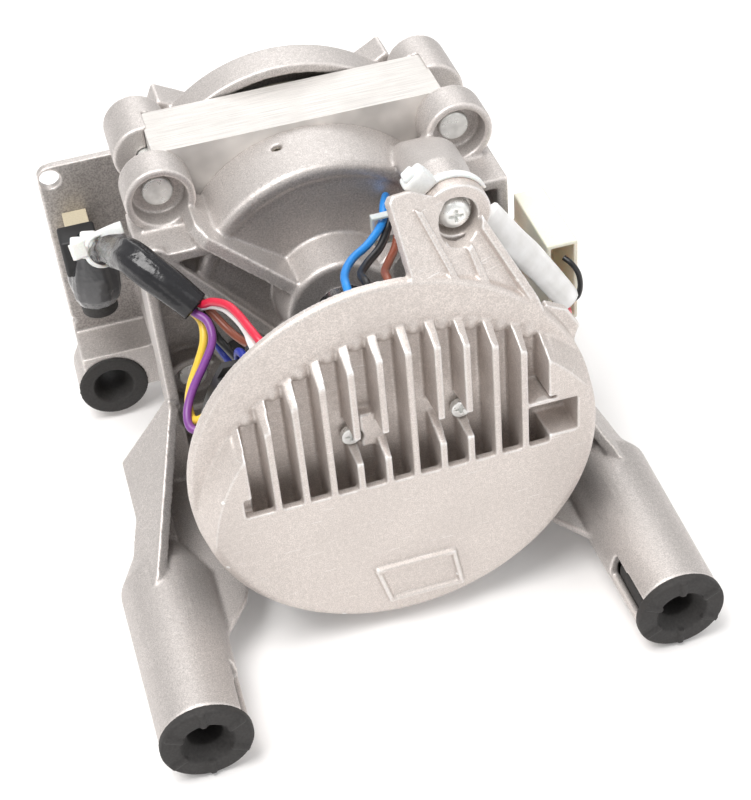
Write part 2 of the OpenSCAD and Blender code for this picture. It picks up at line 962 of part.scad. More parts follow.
// The raised front of the disc, with its rounded edge and the slope up to the band
module raised_disc() {
    edge = 4;
    intersection() {
        turned_at(0, -cover_z, concat(
            [[0, -crest_y]],
            arc(cover_r - 1 - edge, -crest_y + edge, edge, -90, 0, 6),
            [[cover_r, -band_y], [cover_r, -floor_y - 0.5], [0, -floor_y - 0.5]]
        ));
        rod(-crest_y, -band_y + 1, crest_arc_r, crest_arc_x, crest_arc_z, foot_arc_r + 0.5);
    }
}

module cover_body() {
    turned_at(0, -cover_z, [
        [0, -band_y],
        [cover_r - 1.2, -band_y],
        [cover_r, -band_y + 1.2],
        [cover_r, -floor_y - 0.5],
        [tray_r - 0.5, -floor_y - 0.5],
        [tray_r - 0.5, cover_back_y],
        [0, cover_back_y]
    ]);
    raised_disc();
}

// The leaning arm, drawn flat and then leaned back on the cover's rim
module arm_frame() {
    translate([31.1, -band_y + 1, 41])
        rotate([0, 31, 0])
            rotate([-32.4, 0, 0]) children();
}

module cover_arm() {
    arm_t = 4;
    difference() {
        union() {
            arm_frame() {
                plate(0, arm_t)
                    polygon(concat(
                        [[-24, -10], [-24, 0], [-37, 20]],
                        [[-36.6, 22.2], [-31, 25.3], [-9.6, 26.5], [25, 0], [26, -10]]
                    ));
                plate(-1.8, 1)
                    polygon([[-9, 1], [-29, 20], [-26, 20], [-5, 0]]);
                plate(-1.8, 1)
                    polygon([[3, 0], [-13, 19], [-10.5, 19], [8, -1]]);
                plate(-3.2, 1)
                    polygon([[22, -1], [-10.5, 24], [-8.8, 26], [25.5, 0]]);
            }
            rod(boss_y, pillar_y - fit, boss_r, boss_x, boss_z);
        }
        rod(boss_y - 8, seat_y, boss_r - 4.5, boss_x, boss_z);
        rod(boss_y - 1, pillar_y + 1, 2.8, boss_x, boss_z);
        translate([-40, -band_y - 30, 0]) cube([140, 30, 100]);
        rod(-band_y - 2, cover_back_y + 30, 66, 0, -cover_z);
    }
}

module electronics_cover() {
    wall_t = 1.4;
    deep = crest_y - floor_y + 1;
    color(cast) placed()
        difference() {
            union() {
                difference() {
                    cover_body();
                    channel_space();
                }
                cover_fins();
                translate([fin_x(fins - 2), -crest_y, box_top])
                    cube([box_right - fin_x(fins - 2) + 1, deep, wall_t]);
                cover_arm();
                cover_tab();
                disc_pad();
                translate([-11, -band_y - 0.5, -9.7]) cube([8, band_y - floor_y + 1, 13.7]);
            }
            for (x = [screw_left_x, screw_right_x]) {
                rod(-crest_y - 1, -floor_y - 1, 4, x, screw_z);
                rod(-floor_y - 3, cover_back_y + 1, 2, x, screw_z);
            }
        }
}

// The fixing tab at the upper right of the rim
module cover_tab() {
    plate(-floor_y - 0.5, cover_back_y)
        polygon([[46, 14], [52, 25], [55.1, 27.5], [62.1, 23.7], [66.5, 16], [64, 9], [56, 6]]);
}

module pad_outline() {
    polygon([[-12.7, -59], [15.6, -59], [18.1, -76], [17, -76.6], [-8, -76.6], [-8.9, -76]]);
}

// The raised oblong pad near the lower edge, with a rim
module disc_pad() {
    rim_w = 1.1;
    plate(-crest_y - 1, -crest_y + 1)
        difference() {
            pad_outline();
            offset(delta = -rim_w) pad_outline();
        }
    plate(-crest_y - 0.3, -crest_y + 1) pad_outline();
}

module module_screws() {
    head_y = -floor_y - 1;
    color(steel) placed()
        for (x = [screw_left_x, screw_right_x]) {
            difference() {
                rod(head_y - 2.4, head_y, 3.4, x, screw_z);
                translate([x - 0.4, head_y - 3, screw_z - 2]) cube([0.8, 2, 4]);
                translate([x - 2, head_y - 3, screw_z - 0.4]) cube([4, 2, 0.8]);
            }
            rod(head_y - eps, cover_back_y + 5, 1.9, x, screw_z);
        }
}

module arm_screw() {
    head_y = seat_y - 1.1;
    color(steel) placed() {
        difference() {
            translate([boss_x, 0, boss_z])
                turned(concat(
                    [[0, head_y], [0, head_y - 4.2]],
                    arc(2.6, head_y - 1.4, 2.8, -90, 0, 8),
                    [[5.4, head_y]]
                ));
            translate([boss_x - 0.5, head_y - 5, boss_z - 2.4]) cube([1, 2.6, 4.8]);
            translate([boss_x - 2.4, head_y - 5, boss_z - 0.5]) cube([4.8, 2.6, 1]);
        }
        rod(head_y - eps, pillar_y + 18, 2.45, boss_x, boss_z);
    }
}

module arm_washer() {
    color(steel) placed() ring(seat_y - 1.1 + fit, seat_y, 6.2, 2.55, boss_x, boss_z);
}

// Electronics tray and what is in it

// The outline of the electronics space in X and Z, drawn in by a margin
module tray_outline(margin) {
    difference() {
        translate([0, -cover_z]) circle(r = tray_r - margin);
        translate([-100, tray_top - margin]) square([200, 100]);
    }
}

// The deep part of the tray, which holds the capacitors
module tray_well(margin) {
    difference() {
        translate([0, -cover_z]) circle(r = tray_r - 3 - margin);
        translate([-100, well_top - margin]) square([200, 100]);
        for (x = [-1, 1])
            translate([x * (96 - margin) - 50, -100]) square([100, 200]);
    }
}

module electronics_tray() {
    feet = [[-14, -36], [14, -36], [-38, -18], [38, -18]];
    board_posts = [[-40, -44], [40, -44], [42, 2], [-44, 2]];
    color(black_plastic) placed()
        difference() {
            union() {
                difference() {
                    union() {
                        plate(tray_rim_y, tray_floor_y) tray_outline(0);
                        plate(tray_floor_y - 1, tray_back_y) tray_well(0);
                    }
                    plate(tray_rim_y - 1, tray_floor_y - tray_wall) tray_outline(tray_wall);
                    plate(tray_floor_y - tray_wall - 1, tray_back_y - tray_wall) tray_well(tray_wall);
                }
                for (p = feet)
                    rod(tray_back_y - 1, p[1] < -30 ? face_y + 1 : face_y, 4, p[0], p[1]);
                for (p = board_posts)
                    rod(board_back_y, p[1] < well_top ? tray_back_y - 1 : tray_floor_y - 1, 3, p[0], p[1]);
                for (x = [-1, 1])
                    translate([x * (tray_r - 5) - 3, tray_rim_y + 1, -cover_z - 6]) cube([6, 11, 12]);
            }
            plate(tray_rim_y + 1.4, tray_floor_y - tray_wall - 0.4)
                for (x = [loom_x, lead_x])
                    translate([x - 16, tray_top - tray_wall - 1]) square([32, tray_wall + 2]);
            plate(tray_rim_y + 1.4, tray_rim_y + 10)
                translate([-64, 2]) square([15.6, 12]);
            for (x = [-1, 1])
                translate([x * (tray_r + 1), tray_rim_y + 6, -cover_z])
                    rotate([0, -x * 90, 0]) cylinder(h = 7.5, r = 1.8);
        }
}

module cover_seal() {
    color(rubber) placed()
        plate(cover_back_y, tray_rim_y)
            difference() {
                tray_outline(0.3);
                tray_outline(tray_wall);
            }
}

module control_board() {
    color("#2f6b3f") placed()
        difference() {
            plate(board_y, board_back_y) tray_outline(tray_wall + 6.5);
            for (x = [screw_left_x, screw_right_x])
                rod(board_y - 1, board_back_y + 1, 3, x, screw_z);
        }
}

module power_capacitors() {
    color("#2a3550") placed()
        for (x = [-22, 0, 22])
            rod(board_back_y, board_back_y + 27, capacitor_r, x, -48);
}

module power_module() {
    color(black_plastic) placed()
        difference() {
            translate([-22, cover_back_y + 0.6, -20]) cube([54, board_y - cover_back_y - 0.6, 30]);
            for (x = [screw_left_x, screw_right_x])
                rod(cover_back_y, board_y + 1, 1.95, x, screw_z);
        }
}

module thermal_pad() {
    color("#9aa7b5") placed()
        difference() {
            translate([-22, cover_back_y, -20]) cube([54, 0.6, 30]);
            for (x = [screw_left_x, screw_right_x])
                rod(cover_back_y - 1, board_y, 2.2, x, screw_z);
        }
}

module terminal_block(x, w) {
    translate([x - w / 2, board_back_y, tray_top - tray_wall - 10]) cube([w, 5.5, 9]);
}

module board_terminals() {
    color("#efe9dc") placed() {
        terminal_block(loom_x, 24);
        terminal_block(lead_x, 20);
    }
}

module side_screws() {
    color(steel) placed()
        for (x = [-1, 1])
            translate([x * (tray_r + 1.05), tray_rim_y + 6, -cover_z])
                rotate([0, -x * 90, 0]) {
                    cylinder(h = 7, r = 1.75);
                    translate([0, 0, -2.2]) cylinder(h = 2.2 + eps, r = 4);
                }
}

module earth_clip() {
    x0 = -tray_r - 1;
    color(steel) placed()
        difference() {
            translate([x0, tray_rim_y + 2, -cover_z - 5]) cube([0.95, 8, 22]);
            translate([x0 - 1, tray_rim_y + 6, -cover_z])
                rotate([0, 90, 0]) cylinder(h = 4, r = 2);
        }
}

// Loom on the left

boot_x = -82;
boot_z = -8;

module harness_connector() {
    color("#d9cdb6") placed() {
        translate([boot_x - 5, plate_y - 11.9, boot_z - 10]) cube([9.5, 11.9 - eps, 18]);
        translate([boot_x - 8.5, plate_y - 9, boot_z - 10]) cube([4, 7, 10]);
    }
}

module connector_boot() {
    color(black_plastic) placed()
        hull() {
            translate([boot_x - 9, plate_y - 24, boot_z]) cube([17, 12, 10]);
            translate([boot_x - 7, plate_y - 28, boot_z - 14]) cube([13, 12, 4]);
        }
}

module boot_grommet() {
    color(rubber) placed()
        translate([boot_x + 1, plate_y - 22, boot_z - 24]) cylinder(h = 10, r = 7);
}

loom_route = [
    [-80, 28.9, -2.4], [-79.8, 26, -1.8], [-78.9, 21.5, 1.2], [-77.6, 16.5, 5.4], [-75.8, 9, 11.6],
    [-73.8, 0, 17.6], [-72.4, -9, 23], [-71.4, -18, 28.4], [-70.4, -26, 33], [-68, -32.8, 35.2],
    [-63.2, -39.5, 32.2], [-57.5, -44.6, 27], [-51.9, -48.6, 21]
];
red_route = [
    [-49.71, -50.07, 22.68], [-46.5, -55, 26.4], [-42.5, -62, 29], [-40.2, -71, 30.6],
    [-38.8, -80, 32], [-36, -88, 30.5], [-30, -89.5, 24.5], [-28.4, -87.2, 17.4]
];
white_route = [
    [-51.81, -51.67, 21.48], [-48.6, -56.5, 23.9], [-44.6, -63, 26], [-42.2, -72, 27.8],
    [-41, -81, 28.8], [-38.5, -88, 26.6], [-33, -89, 21.5], [-31.9, -87.6, 17.4]
];
brown_route = [
    [-49.11, -47.57, 21.48], [-46.6, -51, 18.5], [-42.3, -59, 15], [-38.4, -68, 15.6],
    [-37.2, -75, 20], [-36, -81, 22.6], [-35, -84.8, 20.6], [-34.8, -85.4, 16.8]
];
yellow_route = [
    [-52.6, -48.2, 18.1], [-52, -50.4, 14.5], [-52.6, -58.5, 11], [-57, -69, 9.2],
    [-62.3, -79, 8.2], [-63.8, -87, 8.6], [-61, -89.8, 10.2], [-55, -88.2, 11.2],
    [-48.4, -86.6, 11.8]
];
purple_route = [
    [-52.6, -50.7, 19.2], [-49.6, -58, 15.8], [-52.4, -66.4, 9], [-57.6, -74, 4.8],
    [-63.4, -81, 3.8], [-65.8, -88.4, 4.8], [-62.5, -91.2, 6.2], [-56.5, -90.2, 7.6],
    [-48.5, -87, 8.7]
];
black_route = [
    [-51.21, -49.07, 20.38], [-48.6, -48.4, 14.5], [-46.6, -50, 7.6], [-44.1, -55, 5.2],
    [-41.9, -64, 6], [-41.2, -71, 10], [-40, -75.8, 16.5], [-39.5, -77.4, 21.6], [-38.6, -82, 23.2],
    [-38.2, -85, 21.3], [-38.2, -85.4, 16.8]
];
blue_route = [
    [-50.51, -46.57, 19.18], [-49.6, -45.3, 11], [-46.8, -48, 3], [-44.5, -53, -0.8],
    [-43.4, -62, 1.2], [-43.8, -70, 7], [-43.6, -75.5, 15], [-43.3, -77.2, 21],
    [-42.4, -81.5, 23.1], [-41.6, -85, 21], [-41.6, -85.4, 16.8]
];

module harness_sleeve() { color(black_plastic) placed() cord(loom_route, sleeve_r, 0.85); }
module wire_red() { color("#d3203a") placed() cord(red_route, wire_r); }
module wire_white() { color("#e9e6e2") placed() cord(white_route, wire_r); }
module wire_brown() { color("#7a4233") placed() cord(brown_route, wire_r); }
module wire_yellow() { color("#e2bc2b") placed() cord(yellow_route, wire_r); }
module wire_purple() { color("#8a4a9c") placed() cord(purple_route, wire_r); }
module wire_black() { color(black_plastic) placed() cord(black_route, wire_r); }
module wire_blue() { color("#27368f") placed() cord(blue_route, wire_r); }

// Phase leads at the top

blue_lead_route = [
    [22, -27.5, 33], [18.5, -38, 37], [14.5, -50, 38.4], [7.5, -58, 37.4], [0, -65, 38],
    [-5, -75, 40.4], [-7, -86, 43.5], [-6.4, -91, 40], [-5, -91, 32], [-4, -89, 24],
    [-4, -87, 17.2]
];
black_lead_route = [
    [24, -27.4, 30], [20.5, -38, 34.5], [16.5, -50, 36.5], [11, -59, 35.6], [4.5, -67, 36.6],
    [0, -76, 39.6], [-0.6, -86, 43.5], [-0.4, -91, 40], [0, -91, 32], [0, -89, 24], [0, -87, 17.2]
];
brown_lead_route = [
    [27, -27.3, 28], [24, -38, 32], [20, -50, 34.4], [16.5, -58, 33.6], [12, -66, 34.4],
    [8, -76, 38.4], [6.4, -86, 43], [5.6, -91, 40], [4.4, -91, 32], [4, -89, 24], [4, -87, 17.2]
];

module lead_blue() { color("#2f7fd0") placed() cord(blue_lead_route, wire_r); }
module lead_black() { color(black_plastic) placed() cord(black_lead_route, wire_r); }
module lead_brown() { color("#7a4233") placed() cord(brown_lead_route, wire_r); }

// Cable ties

module loom_tie() {
    color("#f2f0ea") placed()
        translate([-76.4, 12, 9.2])
            rotate([-33, 0, 13.7]) {
                ring(-2, 2, sleeve_r + 1.3, sleeve_r + 0.2);
                translate([-sleeve_r - 5.5, -2.5, 0]) cube([5, 5, 6]);
            }
}

module arm_tie() {
    color("#f4f2ee") placed() {
        translate([boss_x, 0, boss_z]) {
            plate(boss_y + 4.4, boss_y + 7.4)
                difference() {
                    circle(r = boss_r + 1.2);
                    circle(r = boss_r + fit);
                    translate([-30, -33]) square([60, 30]);
                    translate([0, -15]) square([30, 20]);
                }
            rotate([0, -40, 0])
                translate([-4, boss_y + 3.6, boss_r + 0.3]) cube([8, 5.6, 7]);
        }
    }
}

module lead_tie() {
    color("#e4e4e0") placed()
        translate([16.6, -50, 36.4])
            difference() {
                translate([-5.8, -1.5, -5.6]) cube([12.6, 3, 11.2]);
                translate([-4.8, -2, -4.6]) cube([10.6, 4, 9.2]);
            }
}

// Plug on the right

plug_sleeve_route = [
    [44.4, -73.5, 50], [47.8, -71.6, 44], [52, -69.6, 36.5], [57.2, -67.2, 28.2], [62.4, -65, 20],
    [67.6, -62.8, 11.4], [73, -60.5, 2], [78, -59, -6.5]
];

module plug_housing() {
    left = frame_x + 5.5;
    color("#efe9d8") placed()
        difference() {
            union() {
                translate([left, -54, -19]) cube([11.5, 35, 34.5]);
                translate([frame_x, -frame_l + 2, -15]) cube([6, 8, 20]);
            }
            translate([left + 1.5, -55, -17.5]) cube([8.5, 22, 31.5]);
        }
}

// The two leads from the end of the white sleeve back into the plug
black_sensor_route = [
    [79.3, -58.4, -6.9], [81.4, -58.4, -5.2], [82.2, -58.4, -1], [81.6, -58, 4], [79.6, -57, 8],
    [77.6, -54.2, 9.5]
];
red_sensor_route = [
    [77.2, -58.7, -8.6], [77.4, -58.6, -11], [78.6, -57, -13.2], [79.4, -54.2, -14.2]
];

module sensor_leads() {
    placed() {
        color(black_plastic) cord(black_sensor_route, 1);
        color("#b52a34") cord(red_sensor_route, 1);
    }
}

module plug_sleeve() {
    color("#f7f5f0") placed() cord(plug_sleeve_route, 3.2);
}

front_end_shield();
rear_end_shield();
stator_core();
stator_insulators();
stator_windings();
through_bolts();
through_bolt_nuts();
wave_washer();
front_bearing_outer_race();
front_bearing_balls();
front_bearing_seals();
rear_bearing_outer_race();
rear_bearing_balls();
rear_bearing_seals();
electronics_cover();
electronics_tray();
cover_seal();
control_board();
power_capacitors();
power_module();
thermal_pad();
board_terminals();
module_screws();
arm_screw();
arm_washer();
side_screws();
earth_clip();
front_left_bush();
front_right_bush();
rear_left_bush();
rear_right_bush();
harness_connector();
connector_boot();
boot_grommet();
harness_sleeve();
wire_red();
wire_white();
wire_brown();
wire_yellow();
wire_purple();
wire_black();
wire_blue();
lead_blue();
lead_black();
lead_brown();
loom_tie();
arm_tie();
lead_tie();
plug_housing();
plug_sleeve();
sensor_leads();
shaft();
rotor_core();
rotor_magnets();
rotor_end_rings();
front_bearing_inner_race();
rear_bearing_inner_race();
bearing_circlip();
drive_pulley();
pulley_nut();
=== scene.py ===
import json
import math

import bmesh
import bpy
from bpy.props import FloatProperty, FloatVectorProperty, IntProperty, PointerProperty
from mathutils import Matrix, Vector, noise


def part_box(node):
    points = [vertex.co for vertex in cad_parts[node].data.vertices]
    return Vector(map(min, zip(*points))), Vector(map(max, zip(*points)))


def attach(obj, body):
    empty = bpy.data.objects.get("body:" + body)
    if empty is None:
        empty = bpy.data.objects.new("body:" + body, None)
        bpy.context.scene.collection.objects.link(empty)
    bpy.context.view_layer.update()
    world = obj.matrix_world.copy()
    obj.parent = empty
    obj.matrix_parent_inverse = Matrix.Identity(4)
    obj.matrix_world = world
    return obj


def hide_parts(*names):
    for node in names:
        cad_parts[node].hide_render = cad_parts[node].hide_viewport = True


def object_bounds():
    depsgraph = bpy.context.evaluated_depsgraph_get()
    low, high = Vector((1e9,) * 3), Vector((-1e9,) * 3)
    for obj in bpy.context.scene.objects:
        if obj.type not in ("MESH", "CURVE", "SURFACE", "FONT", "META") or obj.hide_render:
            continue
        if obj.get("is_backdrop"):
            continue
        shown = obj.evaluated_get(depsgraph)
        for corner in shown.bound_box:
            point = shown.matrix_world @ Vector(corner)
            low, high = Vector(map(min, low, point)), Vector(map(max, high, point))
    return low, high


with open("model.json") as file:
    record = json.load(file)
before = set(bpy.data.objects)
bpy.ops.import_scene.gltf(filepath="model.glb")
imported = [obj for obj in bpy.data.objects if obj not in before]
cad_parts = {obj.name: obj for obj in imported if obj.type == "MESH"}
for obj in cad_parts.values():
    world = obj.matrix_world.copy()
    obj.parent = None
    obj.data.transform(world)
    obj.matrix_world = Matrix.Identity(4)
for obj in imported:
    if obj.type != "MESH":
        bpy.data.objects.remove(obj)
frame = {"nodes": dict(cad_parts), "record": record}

bl_info = {
    "name": "Washing machine motor",
    "version": (1, 0, 0),
    "blender": (4, 5, 0),
    "location": "View3D > Sidebar > Motor",
    "description": "Dresses the motor's solids as die castings, sheet stack, rubber bushes and wiring",
    "category": "Object",
}

MM = 0.001
BELT = 76.0
NODES = frame["nodes"]
BODY = {n: b for b, ns in frame["record"]["behaviour"]["bodies"].items() for n in ns}
SLOT = {s["node"]: s["material_slot"] for s in frame["record"]["subparts"]}
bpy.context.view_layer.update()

# Places on the motor in mm: across, along the shaft from the stator's front face, and up
LOOM_SLEEVE = [(-80, 28.9, -2.4), (-79.8, 26, -1.8), (-78.9, 21.5, 1.2), (-77.6, 16.5, 5.4), (-75.8, 9, 11.6),
               (-73.8, 0, 17.6), (-72.4, -9, 23), (-71.4, -18, 28.4), (-70.4, -26, 33), (-68, -32.8, 35.2),
               (-63.2, -39.5, 32.2), (-57.5, -44.6, 27), (-51.9, -48.6, 21)]
LOOM_WIRES = {
    "wire_red": [(-52.47, -48.1, 25.64), (-49.71, -50.07, 22.68), (-46.5, -55, 26.4), (-42.5, -62, 29),
        (-40.2, -71, 30.6), (-38.8, -80, 32), (-36, -88, 30.5), (-30, -89.5, 24.5), (-28.4, -87.2, 17.4)],
    "wire_white": [(-53.5, -46.5, 22.6), (-50.5, -49, 20.9), (-46.9, -52.5, 23.3), (-43.1, -58.5, 25.1),
        (-40.4, -66, 25.4), (-39.1, -75, 26.6), (-39.2, -83, 28), (-38, -88.4, 26.6), (-33, -89, 21.5),
        (-31.9, -87.6, 17.4)],
    "wire_brown": [(-51.87, -45.6, 24.44), (-49.11, -47.57, 21.48), (-46.6, -51, 18.5), (-42.3, -59, 15),
        (-38.4, -68, 15.6), (-37.2, -75, 20), (-36, -81, 22.6), (-35, -84.8, 20.6), (-34.8, -85.4, 16.8)],
    "wire_yellow": [(-55.36, -46.23, 21.06), (-53, -48.2, 19), (-50.8, -50.8, 15.6), (-51.8, -56.5, 12.2),
        (-55.2, -63.5, 10.2), (-59.6, -72, 8.8), (-62.4, -80, 7.2), (-62.6, -86, 5.8), (-60, -88.9, 7.2),
        (-55, -88.2, 10.4), (-48.4, -86.6, 11.8)],
    "wire_purple": [(-55.36, -48.73, 22.16), (-52.6, -50.7, 20.4), (-49.2, -55, 18.6), (-49.4, -61.5, 15.4),
        (-54.4, -70, 13.2), (-59.8, -78, 11.4), (-63.6, -85, 8.6), (-64.1, -89.4, 5.6), (-61.5, -91.4, 5),
        (-56.5, -90.2, 7), (-48.5, -87, 8.7)],
    "wire_black": [(-53.97, -47.1, 23.34), (-51.21, -49.07, 20.38), (-48.6, -48.4, 14.5), (-46.6, -50, 7.6),
        (-44.1, -55, 5.2), (-41.9, -64, 6), (-41.2, -71, 10), (-40, -75.8, 16.5), (-39.5, -77.4, 21.6),
        (-38.6, -82, 23.2), (-38.2, -85, 21.3), (-38.2, -85.4, 16.8)],
    "wire_blue": [(-53.27, -44.6, 22.14), (-50.51, -46.57, 19.18), (-49.6, -45.3, 11), (-46.8, -48, 3),
        (-44.5, -53, -0.8), (-43.4, -62, 1.2), (-43.8, -70, 7), (-43.6, -75.5, 15), (-43.3, -77.2, 21),
        (-42.4, -81.5, 23.1), (-41.6, -85, 21), (-41.6, -85.4, 16.8)],
}
PHASE_LEADS = {
    "lead_blue": [(22, -27.5, 33), (18.5, -38, 37), (14.5, -50, 38.4), (7.5, -58, 37.4), (0, -65, 38),
        (-5, -75, 40.4), (-7, -86, 43.5), (-6.4, -91, 40), (-5, -91, 32), (-4, -89, 24), (-4, -87, 17.2)],
    "lead_black": [(24, -27.4, 30), (20.5, -38, 34.5), (16.5, -50, 36.5), (11, -59, 35.6), (4.5, -67, 36.6),
        (0, -76, 39.6), (-0.6, -86, 43.5), (-0.4, -91, 40), (0, -91, 32), (0, -89, 24), (0, -87, 17.2)],
    "lead_brown": [(27, -27.3, 28), (24, -38, 32), (20, -50, 34.4), (16.5, -58, 33.6), (12, -66, 34.4),
        (8, -76, 38.4), (6.4, -86, 43), (5.6, -91, 40), (4.4, -91, 32), (4, -89, 24), (4, -87, 17.2)],
}
PLUG_SLEEVE = [(44.4, -73.5, 50), (47.8, -71.6, 44), (52, -69.6, 36.5), (57.2, -67.2, 28.2), (62.4, -65, 20),
               (67.6, -62.8, 11.4), (73, -60.5, 2), (78, -59, -6.5)]
SENSOR_LEADS = {
    "sensor_black": [(79.3, -58.4, -6.9), (81.4, -58.4, -5.2), (82.2, -58.4, -1), (81.6, -58, 4),
        (79.6, -57, 8), (77.6, -54.2, 9.5)],
    "sensor_red": [(77.2, -58.7, -8.6), (77.4, -58.6, -11), (78.6, -57, -13.2), (79.4, -54.2, -14.2)],
}

# The cover's fins: how many, the first one's place across, their pitch, and the arc that their feet end on
FINS = 12
FIN_START = -51.675
FIN_PITCH = 9.45
FOOT_ARC = (5.2, -37.8, 75)
FLOOR_STATION = -98

# The oblong pad on the disc: its corners across and up, the station of its rim and the rim's radius
PAD_CORNERS = [(-12.2, -59.6), (15.2, -59.6), (17.4, -75.4), (-8.4, -75.4)]
PAD_STATION = -111.9
PAD_RIM = 1.0

# The swelling at the top of each channel: how far it sits under the arc, and its half sizes
SWELLING_DROP = 2.6
SWELLING = (4.3, 4.6, 4.6)

# The film under the loom connector: middle, half width and half depth at each height
FILM_LEVELS = [(-79.5, 33.5, 2, 4.2, 3.2), (-79.8, 33.5, -3, 6.4, 4.6), (-80, 33, -9, 8.8, 6),
               (-80.2, 32.6, -14, 10, 7), (-80.4, 32.2, -19, 10, 7.4), (-80.9, 32, -23.5, 9, 6.8),
               (-81.4, 31.8, -27, 7, 5.4), (-81.8, 31.8, -29.6, 4, 3.4), (-82, 31.8, -30.6, 0.6, 0.6)]
FILM_ACROSS = Vector((0.961, -0.276, 0))
FILM_OUT = Vector((0.276, 0.961, 0))

# The heads of two cable ties, their turns about the shaft's direction, and the loom tie's cut tail
ARM_TIE_HEAD = (19.8, -81.1, 73.6)
ARM_TIE_TURN = math.radians(-40)
LOOM_TIE_HEAD = (-80.2, 22, 6.2)
LOOM_TIE_TURN = 0.2
LOOM_TIE_TAIL = [(-80, 19, 9.4), (-76.5, 15, 13.2), (-71, 12.5, 16.4), (-67.2, 12, 17.4)]

# Half width and half depth of the soft sleeves along their way: shares of the loom sleeve's radius, and mm
LOOM_SLEEVE_WIDTHS = (0.62, 0.66, 0.85, 1.15, 1.32, 1.3, 1.22, 1.12)
LOOM_SLEEVE_DEPTHS = (0.6, 0.6, 0.68, 0.75, 0.74, 0.82, 0.95, 1.06)
PLUG_SLEEVE_WIDTHS = (4.4, 5.0, 5.2, 5.0, 4.5)
PLUG_SLEEVE_DEPTHS = (1.9, 1.7, 1.7, 1.8, 2.0)
TAIL_WIDTHS = (2.6, 2.4, 2.3)
TAIL_DEPTHS = (0.6, 0.6, 0.6)
SENSOR_LEAD_RADIUS = 0.001
LEAD_SIDES = 14

# Bands along the shaft in metres whose forward faces are darker, and how much: the bell's web, darker both as
# its as-cast skin and as painted shade of the deep recess behind the cover, and the rear plate
BELL_WEB_SKIN_AND_SHADE = (-0.1055, -0.0985, 0.42)
REAR_PLATE_DARK_BAND = (-0.0245, -0.0155, 0.72)

# The camera: where it stands in mm, its right, down and forward directions, its focal length and the
# picture's height in pixels, and the sensor's width in mm
EYE = (-90.4, -573.3, 366.8)
RIGHT = (0.95848, -0.27513, -0.07498)
DOWN = (-0.23723, -0.62341, -0.74503)
FORWARD = (0.15824, 0.73189, -0.66280)
FOCAL_PIXELS = 1678.8
PICTURE_HEIGHT = 800
SENSOR_WIDTH = 36

# Light: each lamp's place, size, power and colour, the point that all look at, and the strength of the
# surroundings on the motor and in the camera
LAMPS = (
    ("Key lamp", (-0.35, -0.3, 1.05), 0.7, 13.5, (1, 0.985, 0.97)),
    ("Fill lamp", (0.75, -0.8, 0.5), 0.9, 2.6, (0.98, 0.99, 1)),
    ("Back lamp", (0.2, 0.8, 0.8), 0.8, 4.0, (1, 1, 1)),
)
LAMP_AIM = (0, -0.09, -0.02)
WORLD_ON_MOTOR = 0.55
WORLD_IN_CAMERA = 1.0
WARM_WHITE = (1, 0.995, 0.99, 1)
FLOOR_SIZE = 6
FLOOR_GAP = 0.0002


def at(x, station, z):
    """A place on the motor, in metres."""
    return Vector((x * MM, (station - BELT) * MM, z * MM))


class MotorSizes(bpy.types.PropertyGroup):
    """Sizes of the dressed pieces."""
    casting_detail: FloatProperty(name="Casting detail", description="Smallest form kept on the big castings",
                                  default=0.0007, min=0.0004, max=0.002, unit="LENGTH")
    cover_detail: FloatProperty(name="Cover detail", description="Smallest form kept on the finned cover",
                                default=0.00048, min=0.0003, max=0.002, unit="LENGTH")
    small_detail: FloatProperty(name="Small part detail", description="Smallest form kept on small parts",
                                default=0.0003, min=0.0002, max=0.001, unit="LENGTH")
    edge_passes: IntProperty(name="Edge softening", description="Smoothing passes over the cast edges",
                             default=4, min=0, max=20)
    wire_radius: FloatProperty(name="Wire radius", description="Radius of a loom wire with its insulation",
                               default=0.00142, min=0.0006, max=0.002, unit="LENGTH")
    sleeve_radius: FloatProperty(name="Sleeve radius", description="Radius of the black loom sleeve",
                                 default=0.0047, min=0.003, max=0.008, unit="LENGTH")
    sheet_pitch: FloatProperty(name="Sheet pitch", description="Thickness of one stator sheet",
                               default=0.0007, min=0.0003, max=0.002, unit="LENGTH")


class MotorColours(bpy.types.PropertyGroup):
    """Colours of the finishes."""
    cast: FloatVectorProperty(name="Casting", description="Bare die-cast aluminium", subtype="COLOR", size=3,
                              default=(0.57, 0.535, 0.515), min=0, max=1)
    cover: FloatVectorProperty(name="Cover", description="Blasted aluminium", subtype="COLOR", size=3,
                               default=(0.68, 0.625, 0.59), min=0, max=1)
    sheets: FloatVectorProperty(name="Sheets", description="Cut edges of the sheets", subtype="COLOR", size=3,
                                default=(0.66, 0.635, 0.61), min=0, max=1)
    rubber: FloatVectorProperty(name="Rubber", description="Moulded bush rubber", subtype="COLOR", size=3,
                                default=(0.03, 0.028, 0.027), min=0, max=1)
    floor: FloatVectorProperty(name="Floor", description="Plain pale floor", subtype="COLOR", size=3,
                               default=(0.86, 0.85, 0.845), min=0, max=1)


def sizes():
    """The panel's sizes."""
    return bpy.context.scene.motor_sizes


def colours():
    """The panel's colours."""
    return bpy.context.scene.motor_colours


# Finishes

